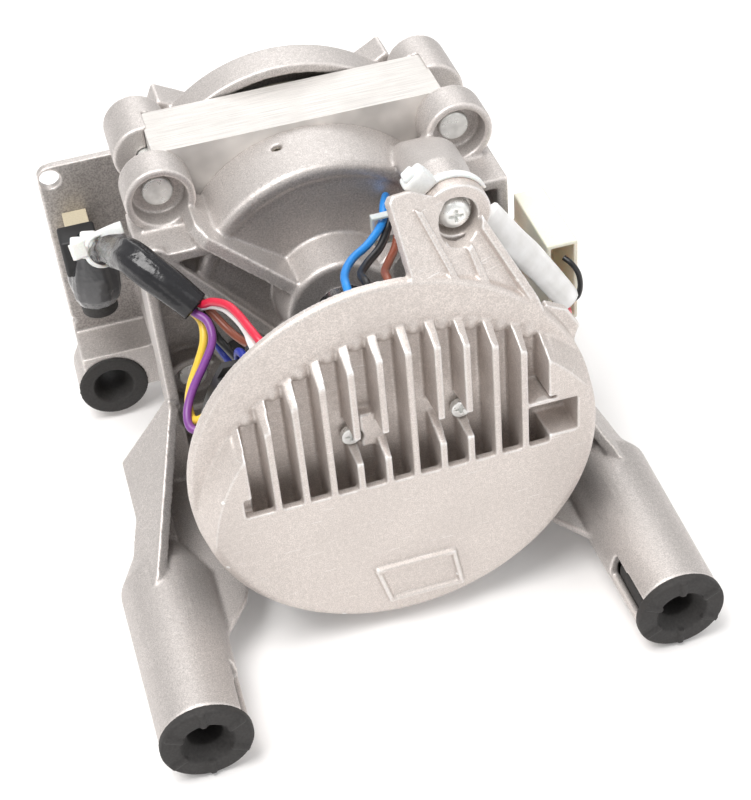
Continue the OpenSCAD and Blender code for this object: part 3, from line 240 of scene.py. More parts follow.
class Finish:
    """A material and the small set of nodes that its pattern is built from."""

    def __init__(self, name, roughness=0.5, metallic=0.0, **sockets):
        self.material = bpy.data.materials.new(name)
        self.material.use_nodes = True
        self.tree = self.material.node_tree
        self.shader = self.tree.nodes["Principled BSDF"]
        self.shader.inputs["Roughness"].default_value = roughness
        self.shader.inputs["Metallic"].default_value = metallic
        for key, value in sockets.items():
            self.shader.inputs[key.replace("_", " ")].default_value = value
        self.place = self.tree.nodes.new("ShaderNodeTexCoord").outputs["Object"]

    def link(self, source, target):
        self.tree.links.new(source, target)

    def stretched(self, scale, turn=(0, 0, 0)):
        """Object coordinates, scaled and turned."""
        mapping = self.tree.nodes.new("ShaderNodeMapping")
        mapping.inputs["Scale"].default_value = scale
        mapping.inputs["Rotation"].default_value = turn
        self.link(self.place, mapping.inputs["Vector"])
        return mapping.outputs["Vector"]

    def clouds(self, scale, detail=2.0, vector=None):
        """Soft noise from 0 to 1."""
        texture = self.tree.nodes.new("ShaderNodeTexNoise")
        texture.inputs["Scale"].default_value = scale
        texture.inputs["Detail"].default_value = detail
        self.link(vector or self.place, texture.inputs["Vector"])
        return texture.outputs["Fac"]

    def between(self, value, low, high, out_low=0.0, out_high=1.0):
        """A value's place between two others, as a number from out_low to out_high."""
        ranged = self.tree.nodes.new("ShaderNodeMapRange")
        for key, number in (("From Min", low), ("From Max", high), ("To Min", out_low), ("To Max", out_high)):
            ranged.inputs[key].default_value = number
        self.link(value, ranged.inputs["Value"])
        return ranged.outputs["Result"]

    def blend(self, amount, first, second):
        """The first colour where the amount is 0 and the second where it is 1."""
        mixer = self.tree.nodes.new("ShaderNodeMix")
        mixer.data_type = "RGBA"
        self._put(amount, mixer.inputs[0])
        self._put(first, mixer.inputs[6])
        self._put(second, mixer.inputs[7])
        return mixer.outputs[2]

    def sum(self, first, second, share=1.0):
        adder = self.tree.nodes.new("ShaderNodeMath")
        adder.operation = "MULTIPLY_ADD"
        self._put(second, adder.inputs[0])
        adder.inputs[1].default_value = share
        self._put(first, adder.inputs[2])
        return adder.outputs[0]

    def _put(self, value, socket):
        if isinstance(value, bpy.types.NodeSocket):
            self.link(value, socket)
        elif isinstance(value, (tuple, list, Vector)):
            socket.default_value = (*value[:3], 1.0)
        else:
            socket.default_value = value

    def colour(self, value):
        self._put(value, self.shader.inputs["Base Color"])
        return self

    def roughness(self, value):
        self.link(value, self.shader.inputs["Roughness"])
        return self

    def relief(self, height, depth, strength=1.0):
        bump = self.tree.nodes.new("ShaderNodeBump")
        bump.inputs["Distance"].default_value = depth
        bump.inputs["Strength"].default_value = strength
        self.link(height, bump.inputs["Height"])
        self.link(bump.outputs["Normal"], self.shader.inputs["Normal"])
        return self

    def forward_band(self, first, last, strength):
        """How much a point lies between two places along the shaft on a face that looks at the cover."""
        split = self.tree.nodes.new("ShaderNodeSeparateXYZ")
        self.link(self.place, split.inputs[0])
        facing = self.tree.nodes.new("ShaderNodeSeparateXYZ")
        self.link(self.tree.nodes.new("ShaderNodeNewGeometry").outputs["True Normal"], facing.inputs[0])
        band = self.tree.nodes.new("ShaderNodeMath")
        band.operation = "COMPARE"
        self.link(split.outputs[1], band.inputs[0])
        band.inputs[1].default_value = (first + last) / 2
        band.inputs[2].default_value = abs(last - first) / 2
        turned = self.between(facing.outputs[1], -0.55, -0.97, 0.0, strength)
        both = self.tree.nodes.new("ShaderNodeMath")
        both.operation = "MULTIPLY"
        self.link(band.outputs[0], both.inputs[0])
        self.link(turned, both.inputs[1])
        return both.outputs[0]

    def edges(self):
        """How much the surface bends out at a point."""
        return self.tree.nodes.new("ShaderNodeNewGeometry").outputs["Pointiness"]


def shade(colour, factor):
    """A lighter or darker tone of a colour."""
    return tuple(min(1.0, c * factor) for c in colour)


def cast_finish(name, tone, grit, edge_wear_and_highlight, scratched=False, skin=None):
    """Die-cast aluminium: fine grit, broad tones, edges lightened by wear and painted highlight and, if
    asked, scratches and a darker band of forward faces.
    """
    f = Finish(name, roughness=0.5, metallic=0.62)
    fine = f.clouds(2300, 1.0)
    middle = f.clouds(620, 3.0)
    broad = f.clouds(38, 3.0)
    speck = f.between(fine, 0.32, 0.68)
    colour = f.blend(speck, shade(tone, 1 - grit), shade(tone, 1 + grit))
    colour = f.blend(f.between(middle, 0.35, 0.7, 0.0, 0.45), colour, shade(tone, 0.86))
    colour = f.blend(f.between(broad, 0.35, 0.75, 0.0, 0.35), colour, shade(tone, 0.8))
    # Forward faces within the band are darkened; on the bell's web this is the darker as-cast skin together
    # with painted shade of the recess behind the cover.
    if skin:
        darker_tone = f.blend(f.between(f.clouds(1500, 2.0), 0.36, 0.64), shade(tone, 0.42), shade(tone, 0.9))
        colour = f.blend(f.forward_band(*skin), colour, darker_tone)
    # Convex edges are lightened: partly wear along the edges, partly painted highlight where the rounded
    # edges catch the light.
    worn_and_highlit_edges = f.between(f.edges(), 0.515, 0.56, 0.0, edge_wear_and_highlight)
    colour = f.blend(worn_and_highlit_edges, colour, shade(tone, 1.75))
    rough = f.between(middle, 0.3, 0.7, 0.42, 0.6)
    if scratched:
        for turn, low in ((0.5, 0.735), (-0.35, 0.745), (1.2, 0.75)):
            lines = f.clouds(1.0, 1.0, f.stretched((90, 90, 2600), (0, turn, 0)))
            colour = f.blend(f.between(lines, low, low + 0.03, 0.0, 0.4), colour, shade(tone, 1.8))
    f.colour(colour).roughness(rough)
    f.relief(f.sum(fine, middle, 0.8), 0.00012, 0.55)
    return f.material


def sheet_finish(name, tone):
    """Cut edges of pressed sheets, with fine lines along the edge and faint stains."""
    f = Finish(name, roughness=0.5, metallic=0.3)
    lines = f.clouds(1.0, 2.0, f.stretched((60, 5200, 60)))
    stains = f.clouds(90, 4.0)
    colour = f.blend(f.between(lines, 0.35, 0.65), shade(tone, 0.78), shade(tone, 1.18))
    colour = f.blend(f.between(stains, 0.45, 0.75, 0.0, 0.4), colour, shade(tone, 0.78))
    f.colour(colour).relief(lines, 0.0001, 0.5)
    return f.material


def bright_metal(name, tone, rough, metallic=0.95):
    """Plated or turned steel with faint marks."""
    f = Finish(name, roughness=rough, metallic=metallic)
    marks = f.clouds(320, 2.0)
    f.colour(f.blend(f.between(marks, 0.4, 0.7), tone, shade(tone, 0.8)))
    f.roughness(f.between(marks, 0.3, 0.7, rough * 0.8, rough * 1.25))
    f.relief(marks, 0.00001, 0.3)
    return f.material


def moulded(name, tone, rough, grain=0.00004, spread=0.12, coarse=1500, **sockets):
    """Moulded plastic or rubber with a fine grain and slightly uneven colour."""
    f = Finish(name, roughness=rough, **sockets)
    fine = f.clouds(coarse, 2.0)
    dusty = f.clouds(140, 4.0)
    colour = f.blend(f.between(fine, 0.3, 0.7), shade(tone, 1 - spread), shade(tone, 1 + spread))
    colour = f.blend(f.between(dusty, 0.5, 0.8, 0.0, 0.5), colour, shade(tone, 1 + 2.5 * spread))
    f.colour(colour).roughness(f.between(dusty, 0.3, 0.8, rough * 0.9, min(1.0, rough * 1.15)))
    f.relief(fine, grain, 0.6)
    return f.material


def wrinkled(name, tone, rough, size, depth, **sockets):
    """Thin glossy sleeve or film with soft creases."""
    f = Finish(name, roughness=rough, **sockets)
    creases = f.clouds(size, 3.0)
    fine = f.clouds(size * 6, 2.0)
    f.colour(f.blend(f.between(creases, 0.3, 0.75), shade(tone, 0.85), shade(tone, 1.5)))
    f.roughness(f.between(fine, 0.3, 0.7, rough * 0.85, rough * 1.3))
    f.relief(f.sum(creases, fine, 0.15), depth, 0.8)
    return f.material


FINISHES = {}


def finishes():
    """Every finish, by the record's slot names and a few extra ones."""
    if FINISHES:
        return FINISHES
    c = colours()
    FINISHES.update({
        # The bell's web band holds the darker as-cast skin and painted shade of the recess behind the cover.
        "cast": cast_finish("Cast aluminium", tuple(c.cast), grit=0.24, edge_wear_and_highlight=0.6, skin=BELL_WEB_SKIN_AND_SHADE),
        "plate_cast": cast_finish("Darkened cast plate", tuple(c.cast), grit=0.24, edge_wear_and_highlight=0.6,
                                  skin=REAR_PLATE_DARK_BAND),
        "cover": cast_finish("Blasted cover", tuple(c.cover), grit=0.17, edge_wear_and_highlight=0.75, scratched=True),
        "lamination": sheet_finish("Sheet edges", tuple(c.sheets)),
        "insulator": moulded("Bobbin plastic", (0.72, 0.68, 0.58), 0.5),
        "copper": bright_metal("Enamelled copper", (0.48, 0.2, 0.09), 0.3, metallic=0.7),
        "magnet": moulded("Sintered magnet", (0.06, 0.06, 0.065), 0.5),
        "zinc_steel": bright_metal("Zinc plated steel", (0.95, 0.96, 0.94), 0.3, metallic=0.55),
        "bearing_steel": bright_metal("Ground steel", (0.62, 0.62, 0.63), 0.16),
        "pulley_steel": bright_metal("Turned steel", (0.38, 0.38, 0.39), 0.34),
        "rubber": moulded("Bush rubber", tuple(c.rubber), 0.72, grain=0.00008, spread=0.25, coarse=1100),
        "black_plastic": moulded("Black plastic", (0.014, 0.014, 0.015), 0.5),
        "black_sleeve": wrinkled("Black sleeve", (0.014, 0.014, 0.016), 0.2, 90, 0.0012),
        "film": wrinkled("Black film", (0.045, 0.045, 0.048), 0.2, 110, 0.0012, Coat_Weight=0.6),
        "board": moulded("Circuit board", (0.05, 0.16, 0.07), 0.4),
        "capacitor": moulded("Capacitor sleeve", (0.03, 0.05, 0.13), 0.3),
        "thermal_pad": moulded("Thermal pad", (0.3, 0.33, 0.36), 0.8),
        "cream_plastic": moulded("Cream plastic", (0.78, 0.74, 0.62), 0.38, grain=0.00003, spread=0.05,
                                 Subsurface_Weight=0.1),
        "beige_plastic": moulded("Beige plastic", (0.55, 0.49, 0.36), 0.45, grain=0.00003, spread=0.08),
        "white_plastic": moulded("White nylon", (0.83, 0.82, 0.79), 0.4, grain=0.00003, spread=0.04,
                                 Subsurface_Weight=0.15),
        "white_sleeve": wrinkled("White sleeve", (0.96, 0.95, 0.93), 0.42, 120, 0.0001),
        "clear_nylon": moulded("Clear nylon", (0.55, 0.55, 0.53), 0.35, grain=0.00003, spread=0.04,
                               Subsurface_Weight=0.2),
        "white_wire": moulded("White insulation", (0.84, 0.82, 0.8), 0.35, grain=0.00002, spread=0.03),
        "black_wire": moulded("Black insulation", (0.014, 0.014, 0.015), 0.33, grain=0.00002, spread=0.1),
        "red": moulded("Red insulation", (0.62, 0.02, 0.055), 0.33, grain=0.00002, spread=0.06),
        "brown": moulded("Brown insulation", (0.24, 0.07, 0.04), 0.35, grain=0.00002, spread=0.08),
        "yellow": moulded("Yellow insulation", (0.78, 0.53, 0.06), 0.35, grain=0.00002, spread=0.05),
        "purple": moulded("Purple insulation", (0.2, 0.055, 0.27), 0.35, grain=0.00002, spread=0.08),
        "dark_blue": moulded("Dark blue insulation", (0.015, 0.03, 0.28), 0.35, grain=0.00002, spread=0.08),
        "blue": moulded("Blue insulation", (0.02, 0.24, 0.68), 0.33, grain=0.00002, spread=0.06),
    })
    return FINISHES


# Shapes

def cad_copy(node):
    """The node's solid as a joined-up mesh that may be changed."""
    mesh = NODES[node].data.copy()
    bm = bmesh.new()
    bm.from_mesh(mesh)
    bmesh.ops.remove_doubles(bm, verts=bm.verts, dist=1e-7)
    bm.to_mesh(mesh)
    bm.free()
    mesh.materials.clear()
    return mesh


def new_object(name, mesh):
    obj = bpy.data.objects.new(name, mesh)
    bpy.context.scene.collection.objects.link(obj)
    return obj


def settled(obj):
    """Applies the object's modifiers and returns the object with a plain mesh."""
    graph = bpy.context.evaluated_depsgraph_get()
    mesh = bpy.data.meshes.new_from_object(obj.evaluated_get(graph))
    obj.modifiers.clear()
    if obj.type == "MESH":
        obj.data = mesh
        return obj
    name = obj.name
    bpy.data.objects.remove(obj)
    return new_object(name, mesh)


def dress(obj, node_or_body, finish, *replaced, slot=None):
    """Gives a finished piece its finish and its body, and hides the nodes that it stands for."""
    if isinstance(finish, str):
        finish = finishes()[finish]
    obj.data.materials.clear()
    obj.data.materials.append(finish)
    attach(obj, BODY.get(node_or_body, node_or_body))
    if replaced:
        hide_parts(*replaced)
    return obj


def drop_crumbs(mesh, fewest=200):
    """Removes loose bits with fewer corners than fewest, which lie inside the form."""
    bm = bmesh.new()
    bm.from_mesh(mesh)
    seen = set()
    crumbs = []
    for start in bm.verts:
        if start in seen:
            continue
        seen.add(start)
        island = [start]
        for vert in island:
            for edge in vert.link_edges:
                other = edge.other_vert(vert)
                if other not in seen:
                    seen.add(other)
                    island.append(other)
        if len(island) < fewest:
            crumbs += island
    bmesh.ops.delete(bm, geom=crumbs, context="VERTS")
    bm.to_mesh(mesh)
    bm.free()


def soft_form(name, mesh, detail, passes, most=180000):
    """A cast or moulded form: the solid's surface with rounded edges and filled corners."""
    obj = new_object(name, mesh)
    remesh = obj.modifiers.new("skin", "REMESH")
    remesh.mode = "VOXEL"
    remesh.voxel_size = detail
    if passes:
        smooth = obj.modifiers.new("soften", "SMOOTH")
        smooth.factor = 0.5
        smooth.iterations = passes
    obj = settled(obj)
    drop_crumbs(obj.data)
    count = sum(len(p.vertices) - 2 for p in obj.data.polygons)
    if count > most:
        thin = obj.modifiers.new("thin", "DECIMATE")
        thin.ratio = most / count
        obj = settled(obj)
    obj.data.polygons.foreach_set("use_smooth", [True] * len(obj.data.polygons))
    return obj


def socket(tree, name, kind, default=None):
    item = tree.interface.new_socket(name, in_out="INPUT", socket_type=kind)
    if default is not None:
        item.default_value = default
    return item


def node_tree(name):
    tree = bpy.data.node_groups.new(name, "GeometryNodeTree")
    socket(tree, "Geometry", "NodeSocketGeometry")
    tree.interface.new_socket("Geometry", in_out="OUTPUT", socket_type="NodeSocketGeometry")
    return tree


def close_tree(tree, result, given):
    """Ends a tree with real geometry and its finish."""
    realise = tree.nodes.new("GeometryNodeRealizeInstances")
    paint = tree.nodes.new("GeometryNodeSetMaterial")
    out = tree.nodes.new("NodeGroupOutput")
    tree.links.new(result, realise.inputs[0])
    tree.links.new(realise.outputs[0], paint.inputs["Geometry"])
    tree.links.new(given.outputs["Finish"], paint.inputs["Material"])
    tree.links.new(paint.outputs[0], out.inputs[0])


def apply_tree(obj, tree, **values):
    """Runs a tree on an object with its named inputs and keeps the plain result."""
    run = obj.modifiers.new(tree.name, "NODES")
    run.node_group = tree
    for item in tree.interface.items_tree:
        if item.in_out == "INPUT" and item.name.replace(" ", "_") in values:
            run[item.identifier] = values[item.name.replace(" ", "_")]
    return settled(obj)


def lead_tree():
    """A round lead along a path."""
    tree = node_tree("Lead along a path")
    for name, kind, default in (("Radius", "NodeSocketFloat", 0.0013), ("Sides", "NodeSocketInt", LEAD_SIDES),
                                ("Finish", "NodeSocketMaterial", None)):
        socket(tree, name, kind, default)
    given = tree.nodes.new("NodeGroupInput")
    circle = tree.nodes.new("GeometryNodeCurvePrimitiveCircle")
    tree.links.new(given.outputs["Radius"], circle.inputs["Radius"])
    tree.links.new(given.outputs["Sides"], circle.inputs["Resolution"])
    sweep = tree.nodes.new("GeometryNodeCurveToMesh")
    sweep.inputs["Fill Caps"].default_value = True
    tree.links.new(given.outputs["Geometry"], sweep.inputs["Curve"])
    tree.links.new(circle.outputs[0], sweep.inputs["Profile Curve"])
    close_tree(tree, sweep.outputs[0], given)
    return tree


def stack_tree():
    """One sheet repeated along the shaft."""
    tree = node_tree("Sheets in a stack")
    for name, kind, default in (("Count", "NodeSocketInt", 40), ("Pitch", "NodeSocketFloat", 0.0007),
                                ("Finish", "NodeSocketMaterial", None)):
        socket(tree, name, kind, default)
    given = tree.nodes.new("NodeGroupInput")
    line = tree.nodes.new("GeometryNodeMeshLine")
    step = tree.nodes.new("ShaderNodeCombineXYZ")
    tree.links.new(given.outputs["Pitch"], step.inputs[1])
    tree.links.new(given.outputs["Count"], line.inputs["Count"])
    tree.links.new(step.outputs[0], line.inputs["Offset"])
    copies = tree.nodes.new("GeometryNodeInstanceOnPoints")
    tree.links.new(line.outputs[0], copies.inputs["Points"])
    tree.links.new(given.outputs["Geometry"], copies.inputs["Instance"])
    close_tree(tree, copies.outputs[0], given)
    return tree


TREES = {}


def tree_of(maker):
    """The maker's node tree, made once."""
    if maker.__name__ not in TREES:
        TREES[maker.__name__] = maker()
    return TREES[maker.__name__]


def smooth_path(points, steps=7):
    """Points of a flowing line through the given ones, in metres."""
    p = [at(*q) for q in points]
    p = [2 * p[0] - p[1]] + p + [2 * p[-1] - p[-2]]
    out = []
    for i in range(1, len(p) - 2):
        a, b, c, d = p[i - 1:i + 3]
        for k in range(steps):
            t = k / steps
            out.append(0.5 * (2 * b + (c - a) * t + (2 * a - 5 * b + 4 * c - d) * t * t
                              + (3 * b - a - 3 * c + d) * t ** 3))
    out.append(p[-2])
    return out


def lead(name, points, radius, finish):
    """A round wire that follows its route."""
    path = smooth_path(points)
    curve = bpy.data.curves.new(name, "CURVE")
    curve.dimensions = "3D"
    curve.twist_mode = "MINIMUM"
    spline = curve.splines.new("POLY")
    spline.points.add(len(path) - 1)
    for place, q in zip(spline.points, path):
        place.co = (*q, 1.0)
    obj = new_object(name, curve)
    obj = apply_tree(obj, tree_of(lead_tree), Radius=radius, Sides=LEAD_SIDES, Finish=finishes()[finish])
    obj.data.polygons.foreach_set("use_smooth", [len(p.vertices) == 4 for p in obj.data.polygons])
    return obj


def reading(values, share):
    """The value at a share of the way along a short list."""
    place = share * (len(values) - 1)
    first = min(int(place), len(values) - 2)
    return values[first] + (values[first + 1] - values[first]) * (place - first)


def ringed_mesh(name, verts, sides):
    """A closed mesh over rings of as many points each, with a flat cap at both ends."""
    count = len(verts) // sides
    faces = []
    for r in range(count - 1):
        for k in range(sides):
            n = (k + 1) % sides
            faces.append((r * sides + k, r * sides + n, (r + 1) * sides + n, (r + 1) * sides + k))
    faces.append(tuple(range(sides)))
    faces.append(tuple((count - 1) * sides + k for k in range(sides)))
    mesh = bpy.data.meshes.new(name)
    mesh.from_pydata(verts, [], faces)
    bm = bmesh.new()
    bm.from_mesh(mesh)
    bmesh.ops.recalc_face_normals(bm, faces=bm.faces)
    bm.to_mesh(mesh)
    bm.free()
    return mesh


def flat_sleeve(name, points, widths, depths, folds, mouth):
    """A soft sleeve whose flat side looks forward, with lengthwise folds and an open or closed end."""
    sides = 36
    path = smooth_path(points, 10)
    rings = []
    for i, q in enumerate(path):
        along = (path[min(i + 1, len(path) - 1)] - path[max(i - 1, 0)]).normalized()
        side = along.cross(Vector(FORWARD)).normalized()
        out = side.cross(along)
        share = i / (len(path) - 1)
        w, d = reading(widths, share) * MM, reading(depths, share) * MM
        ring = []
        for k in range(sides):
            turn = 2 * math.pi * k / sides
            spot = q + side * math.cos(turn) * w + out * math.sin(turn) * d
            lift = noise.noise(Vector((3 * math.cos(turn), 3 * math.sin(turn), share * 5))) * folds * MM
            ring.append(spot + (spot - q).normalized() * lift)
        rings.append(ring)
    if mouth:
        centre = path[-1]
        back = (path[-1] - path[-2]).normalized() * 0.005
        rings.append([centre + (v - centre) * 0.8 for v in rings[-1]])
        rings.append([v - back for v in rings[-1]])
    mesh = ringed_mesh(name, [v for ring in rings for v in ring], sides)
    mesh.polygons.foreach_set("use_smooth", [len(p.vertices) == 4 for p in mesh.polygons])
    return new_object(name, mesh)


def bag(name, levels, folds):
    """A hanging bag of thin film: its middle, half width and half depth at each height, in mm."""
    sides, steps = 48, 8
    verts = []
    count = (len(levels) - 1) * steps + 1
    for i in range(count):
        share = i / (count - 1)
        x, station, z, w, d = (reading([level[k] for level in levels], share) for k in range(5))
        middle = at(x, station, z)
        for k in range(sides):
            turn = 2 * math.pi * k / sides
            pleat = noise.noise(Vector((2.6 * math.cos(turn), 2.6 * math.sin(turn), share * 1.6)))
            grow = 1 + folds * pleat * (1 - share ** 2)
            verts.append(middle + (FILM_ACROSS * math.cos(turn) * w
                                   + FILM_OUT * math.sin(turn) * d) * MM * grow)
    mesh = ringed_mesh(name, verts, sides)
    mesh.polygons.foreach_set("use_smooth", [True] * len(mesh.polygons))
    return new_object(name, mesh)


def joined(name, objects):
    """Several new pieces as one object."""
    bm = bmesh.new()
    finish = [m for o in objects for m in o.data.materials]
    for i, o in enumerate(objects):
        start = len(bm.faces)
        bm.from_mesh(o.data)
        bm.faces.ensure_lookup_table()
        for f in bm.faces[start:]:
            f.material_index = i if len(finish) == len(objects) else 0
    mesh = bpy.data.meshes.new(name)
    bm.to_mesh(mesh)
    bm.free()
    for m in finish:
        mesh.materials.append(m)
    for o in objects:
        bpy.data.objects.remove(o)
    return new_object(name, mesh)


def block(name, low, high, bevel, turn=None, centre=None):
    """A box with rounded edges between two corners in mm, turned about a centre in mm if asked."""
    bm = bmesh.new()
    bmesh.ops.create_cube(bm, size=1.0)
    a, b = at(*low), at(*high)
    for v in bm.verts:
        v.co = Vector((a[i] + (b[i] - a[i]) * (v.co[i] + 0.5) for i in range(3)))
    bmesh.ops.bevel(bm, geom=bm.edges[:], offset=bevel * MM, segments=3, profile=0.6, affect="EDGES")
    if turn is not None:
        bmesh.ops.rotate(bm, cent=at(*centre), matrix=turn, verts=bm.verts)
    bmesh.ops.recalc_face_normals(bm, faces=bm.faces)
    mesh = bpy.data.meshes.new(name)
    bm.to_mesh(mesh)
    bm.free()
    mesh.polygons.foreach_set("use_smooth", [True] * len(mesh.polygons))
    return new_object(name, mesh)


# Operators

class MOTOR_OT_stage(bpy.types.Operator):
    """Sets the camera, the lamps, the pale floor and the white surroundings"""
    bl_idname = "motor.stage"
    bl_label = "Stage"

    def execute(self, context):
        scene = context.scene
        scene.view_settings.view_transform = "Standard"
        data = bpy.data.cameras.new("Camera")
        data.sensor_width = SENSOR_WIDTH
        data.lens = FOCAL_PIXELS * SENSOR_WIDTH / PICTURE_HEIGHT
        data.clip_start = 0.01
        data.clip_end = 20
        camera = bpy.data.objects.new("Camera", data)
        axes = [Vector(RIGHT), -Vector(DOWN), -Vector(FORWARD)]
        place = Matrix.Identity(4)
        for column, axis in enumerate(axes):
            for row in range(3):
                place[row][column] = axis[row]
        place.translation = Vector(EYE) * MM
        camera.matrix_world = place
        scene.collection.objects.link(camera)
        scene.camera = camera

        world = bpy.data.worlds.new("Surroundings")
        scene.world = world
        world.use_nodes = True
        nodes = world.node_tree.nodes
        links = world.node_tree.links
        back = nodes["Background"]
        rays = nodes.new("ShaderNodeLightPath")
        either = nodes.new("ShaderNodeMath")
        either.operation = "MAXIMUM"
        links.new(rays.outputs["Is Camera Ray"], either.inputs[0])
        links.new(rays.outputs["Is Transmission Ray"], either.inputs[1])
        strength = nodes.new("ShaderNodeMapRange")
        strength.inputs["To Min"].default_value = WORLD_ON_MOTOR
        strength.inputs["To Max"].default_value = WORLD_IN_CAMERA
        links.new(either.outputs[0], strength.inputs["Value"])
        back.inputs["Color"].default_value = WARM_WHITE
        links.new(strength.outputs[0], back.inputs["Strength"])

        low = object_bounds()[0].z
        bpy.ops.mesh.primitive_plane_add(size=FLOOR_SIZE, location=(0, 0, low - FLOOR_GAP))
        floor = context.object
        floor.name = "floor"
        f = Finish("Pale floor", roughness=0.9)
        f.colour(f.blend(f.clouds(3, 1.0), tuple(colours().floor), shade(colours().floor, 1.01)))
        f.shader.inputs["Specular IOR Level"].default_value = 0.1
        f.shader.inputs["Emission Color"].default_value = WARM_WHITE
        f.shader.inputs["Emission Strength"].default_value = 0.1
        floor.data.materials.append(f.material)
        floor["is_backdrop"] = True

        for name, place, size, power, tone in LAMPS:
            lamp = bpy.data.lights.new(name, "AREA")
            lamp.size = size
            lamp.energy = power
            lamp.color = tone
            holder = bpy.data.objects.new(name, lamp)
            holder.location = place
            aim = Vector(LAMP_AIM) - Vector(place)
            holder.rotation_euler = aim.to_track_quat("-Z", "Y").to_euler()
            scene.collection.objects.link(holder)
        return {"FINISHED"}


def grow_cover(mesh):
    """Adds the swellings at the tops of the channels and the pad's rounded rim to the cover's solid."""
    bm = bmesh.new()
    bm.from_mesh(mesh)
    for i in range(FINS - 1):
        x = FIN_START + (i + 0.5) * FIN_PITCH
        z = FOOT_ARC[1] + math.sqrt(FOOT_ARC[2] ** 2 - (x - FOOT_ARC[0]) ** 2)
        form = Matrix.Translation(at(x, FLOOR_STATION, z - SWELLING_DROP)) @ Matrix.Diagonal(
            Vector((*SWELLING, 1 / MM)) * MM)
        bmesh.ops.create_icosphere(bm, subdivisions=3, radius=1.0, matrix=form)
    corners = [at(x, PAD_STATION, z) for x, z in PAD_CORNERS]
    for a, b in zip(corners, corners[1:] + corners[:1]):
        turn = (b - a).to_track_quat("Z", "Y").to_matrix().to_4x4()
        form = Matrix.Translation((a + b) / 2) @ turn
        bmesh.ops.create_cone(bm, cap_ends=True, segments=16, radius1=PAD_RIM * MM, radius2=PAD_RIM * MM,
                              depth=(b - a).length, matrix=form)
        bmesh.ops.create_icosphere(bm, subdivisions=2, radius=PAD_RIM * MM, matrix=Matrix.Translation(a))
    bm.to_mesh(mesh)
    bm.free()


class MOTOR_OT_castings(bpy.types.Operator):
    """Makes the two end shields and the finned cover as die castings with soft edges"""
    bl_idname = "motor.castings"
    bl_label = "Castings"

    def execute(self, context):
        s = sizes()
        coarse = 1.0
        for name, node, detail, finish in (
                ("front_casting", "front_end_shield", s.casting_detail * coarse, "cast"),
                ("rear_casting", "rear_end_shield", s.casting_detail * coarse, "plate_cast"),
                ("cover_casting", "electronics_cover", s.cover_detail * coarse, "cover")):
            mesh = cad_copy(node)
            if node == "electronics_cover":
                grow_cover(mesh)
            piece = soft_form(name, mesh, detail, s.edge_passes)
            dress(piece, node, finish, node)
        return {"FINISHED"}


class MOTOR_OT_stator(bpy.types.Operator):
    """Stacks the stator's pressed sheets"""
    bl_idname = "motor.stator"
    bl_label = "Stator sheets"

    def execute(self, context):
        pitch = sizes().sheet_pitch
        mesh = cad_copy("stator_core")
        low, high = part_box("stator_core")
        bm = bmesh.new()
        bm.from_mesh(mesh)
        keep = [f for f in bm.faces if all(abs(v.co.y - low.y) < 1e-6 for v in f.verts)]
        bmesh.ops.delete(bm, geom=[f for f in bm.faces if f not in set(keep)], context="FACES")
        made = bmesh.ops.extrude_face_region(bm, geom=bm.faces[:])
        moved = [g for g in made["geom"] if isinstance(g, bmesh.types.BMVert)]
        bmesh.ops.translate(bm, vec=Vector((0, pitch * 0.9, 0)), verts=moved)
        bmesh.ops.recalc_face_normals(bm, faces=bm.faces)
        sheet = bpy.data.meshes.new("sheet")
        bm.to_mesh(sheet)
        bm.free()
        piece = new_object("stator_sheets", sheet)
        count = int((high.y - low.y) / pitch)
        piece = apply_tree(piece, tree_of(stack_tree), Count=count, Pitch=pitch,
                           Finish=finishes()["lamination"])
        dress(piece, "stator_core", "lamination", "stator_core")
        return {"FINISHED"}


class MOTOR_OT_bushes(bpy.types.Operator):
    """Moulds the four rubber bushes"""
    bl_idname = "motor.bushes"
    bl_label = "Rubber bushes"

    def execute(self, context):
        for node in ("front_left_bush", "front_right_bush", "rear_left_bush", "rear_right_bush"):
            piece = soft_form("moulded_" + node, cad_copy(node), sizes().small_detail * 1.2,
                              passes=3, most=60000)
            dress(piece, node, "rubber", node)
        return {"FINISHED"}


class MOTOR_OT_small_metal(bpy.types.Operator):
    """Rounds the screws, bolts, nuts and clips"""
    bl_idname = "motor.small_metal"
    bl_label = "Screws and bolts"

    def execute(self, context):
        detail = sizes().small_detail
        for name, node in (("bolts", "through_bolts"), ("bolt_nuts", "through_bolt_nuts"),
                           ("cover_screws", "module_screws"), ("boss_screw", "arm_screw"),
                           ("boss_washer", "arm_washer"), ("tray_screws", "side_screws"),
                           ("earth_tab", "earth_clip")):
            piece = soft_form(name, cad_copy(node), detail, passes=2, most=120000)
            dress(piece, node, "zinc_steel", node)
        return {"FINISHED"}


class MOTOR_OT_loom(bpy.types.Operator):
    """Lays the loom: sleeve, seven wires and the three phase leads"""
    bl_idname = "motor.loom"
    bl_label = "Loom and leads"

    def execute(self, context):
        s = sizes()
        tones = {"wire_red": "red", "wire_white": "white_wire", "wire_brown": "brown",
                 "wire_yellow": "yellow", "wire_purple": "purple", "wire_black": "black_wire",
                 "wire_blue": "dark_blue", "lead_blue": "blue", "lead_black": "black_wire",
                 "lead_brown": "brown"}
        for routes in (LOOM_WIRES, PHASE_LEADS):
            for node, points in routes.items():
                piece = lead("laid_" + node, points, s.wire_radius, tones[node])
                dress(piece, node, tones[node], node)
        wide = s.sleeve_radius / MM
        sleeve = flat_sleeve("loom_sleeve", LOOM_SLEEVE, [wide * k for k in LOOM_SLEEVE_WIDTHS],
                             [wide * k for k in LOOM_SLEEVE_DEPTHS], folds=0.7, mouth=True)
        dress(sleeve, "harness_sleeve", "black_sleeve", "harness_sleeve")
        return {"FINISHED"}


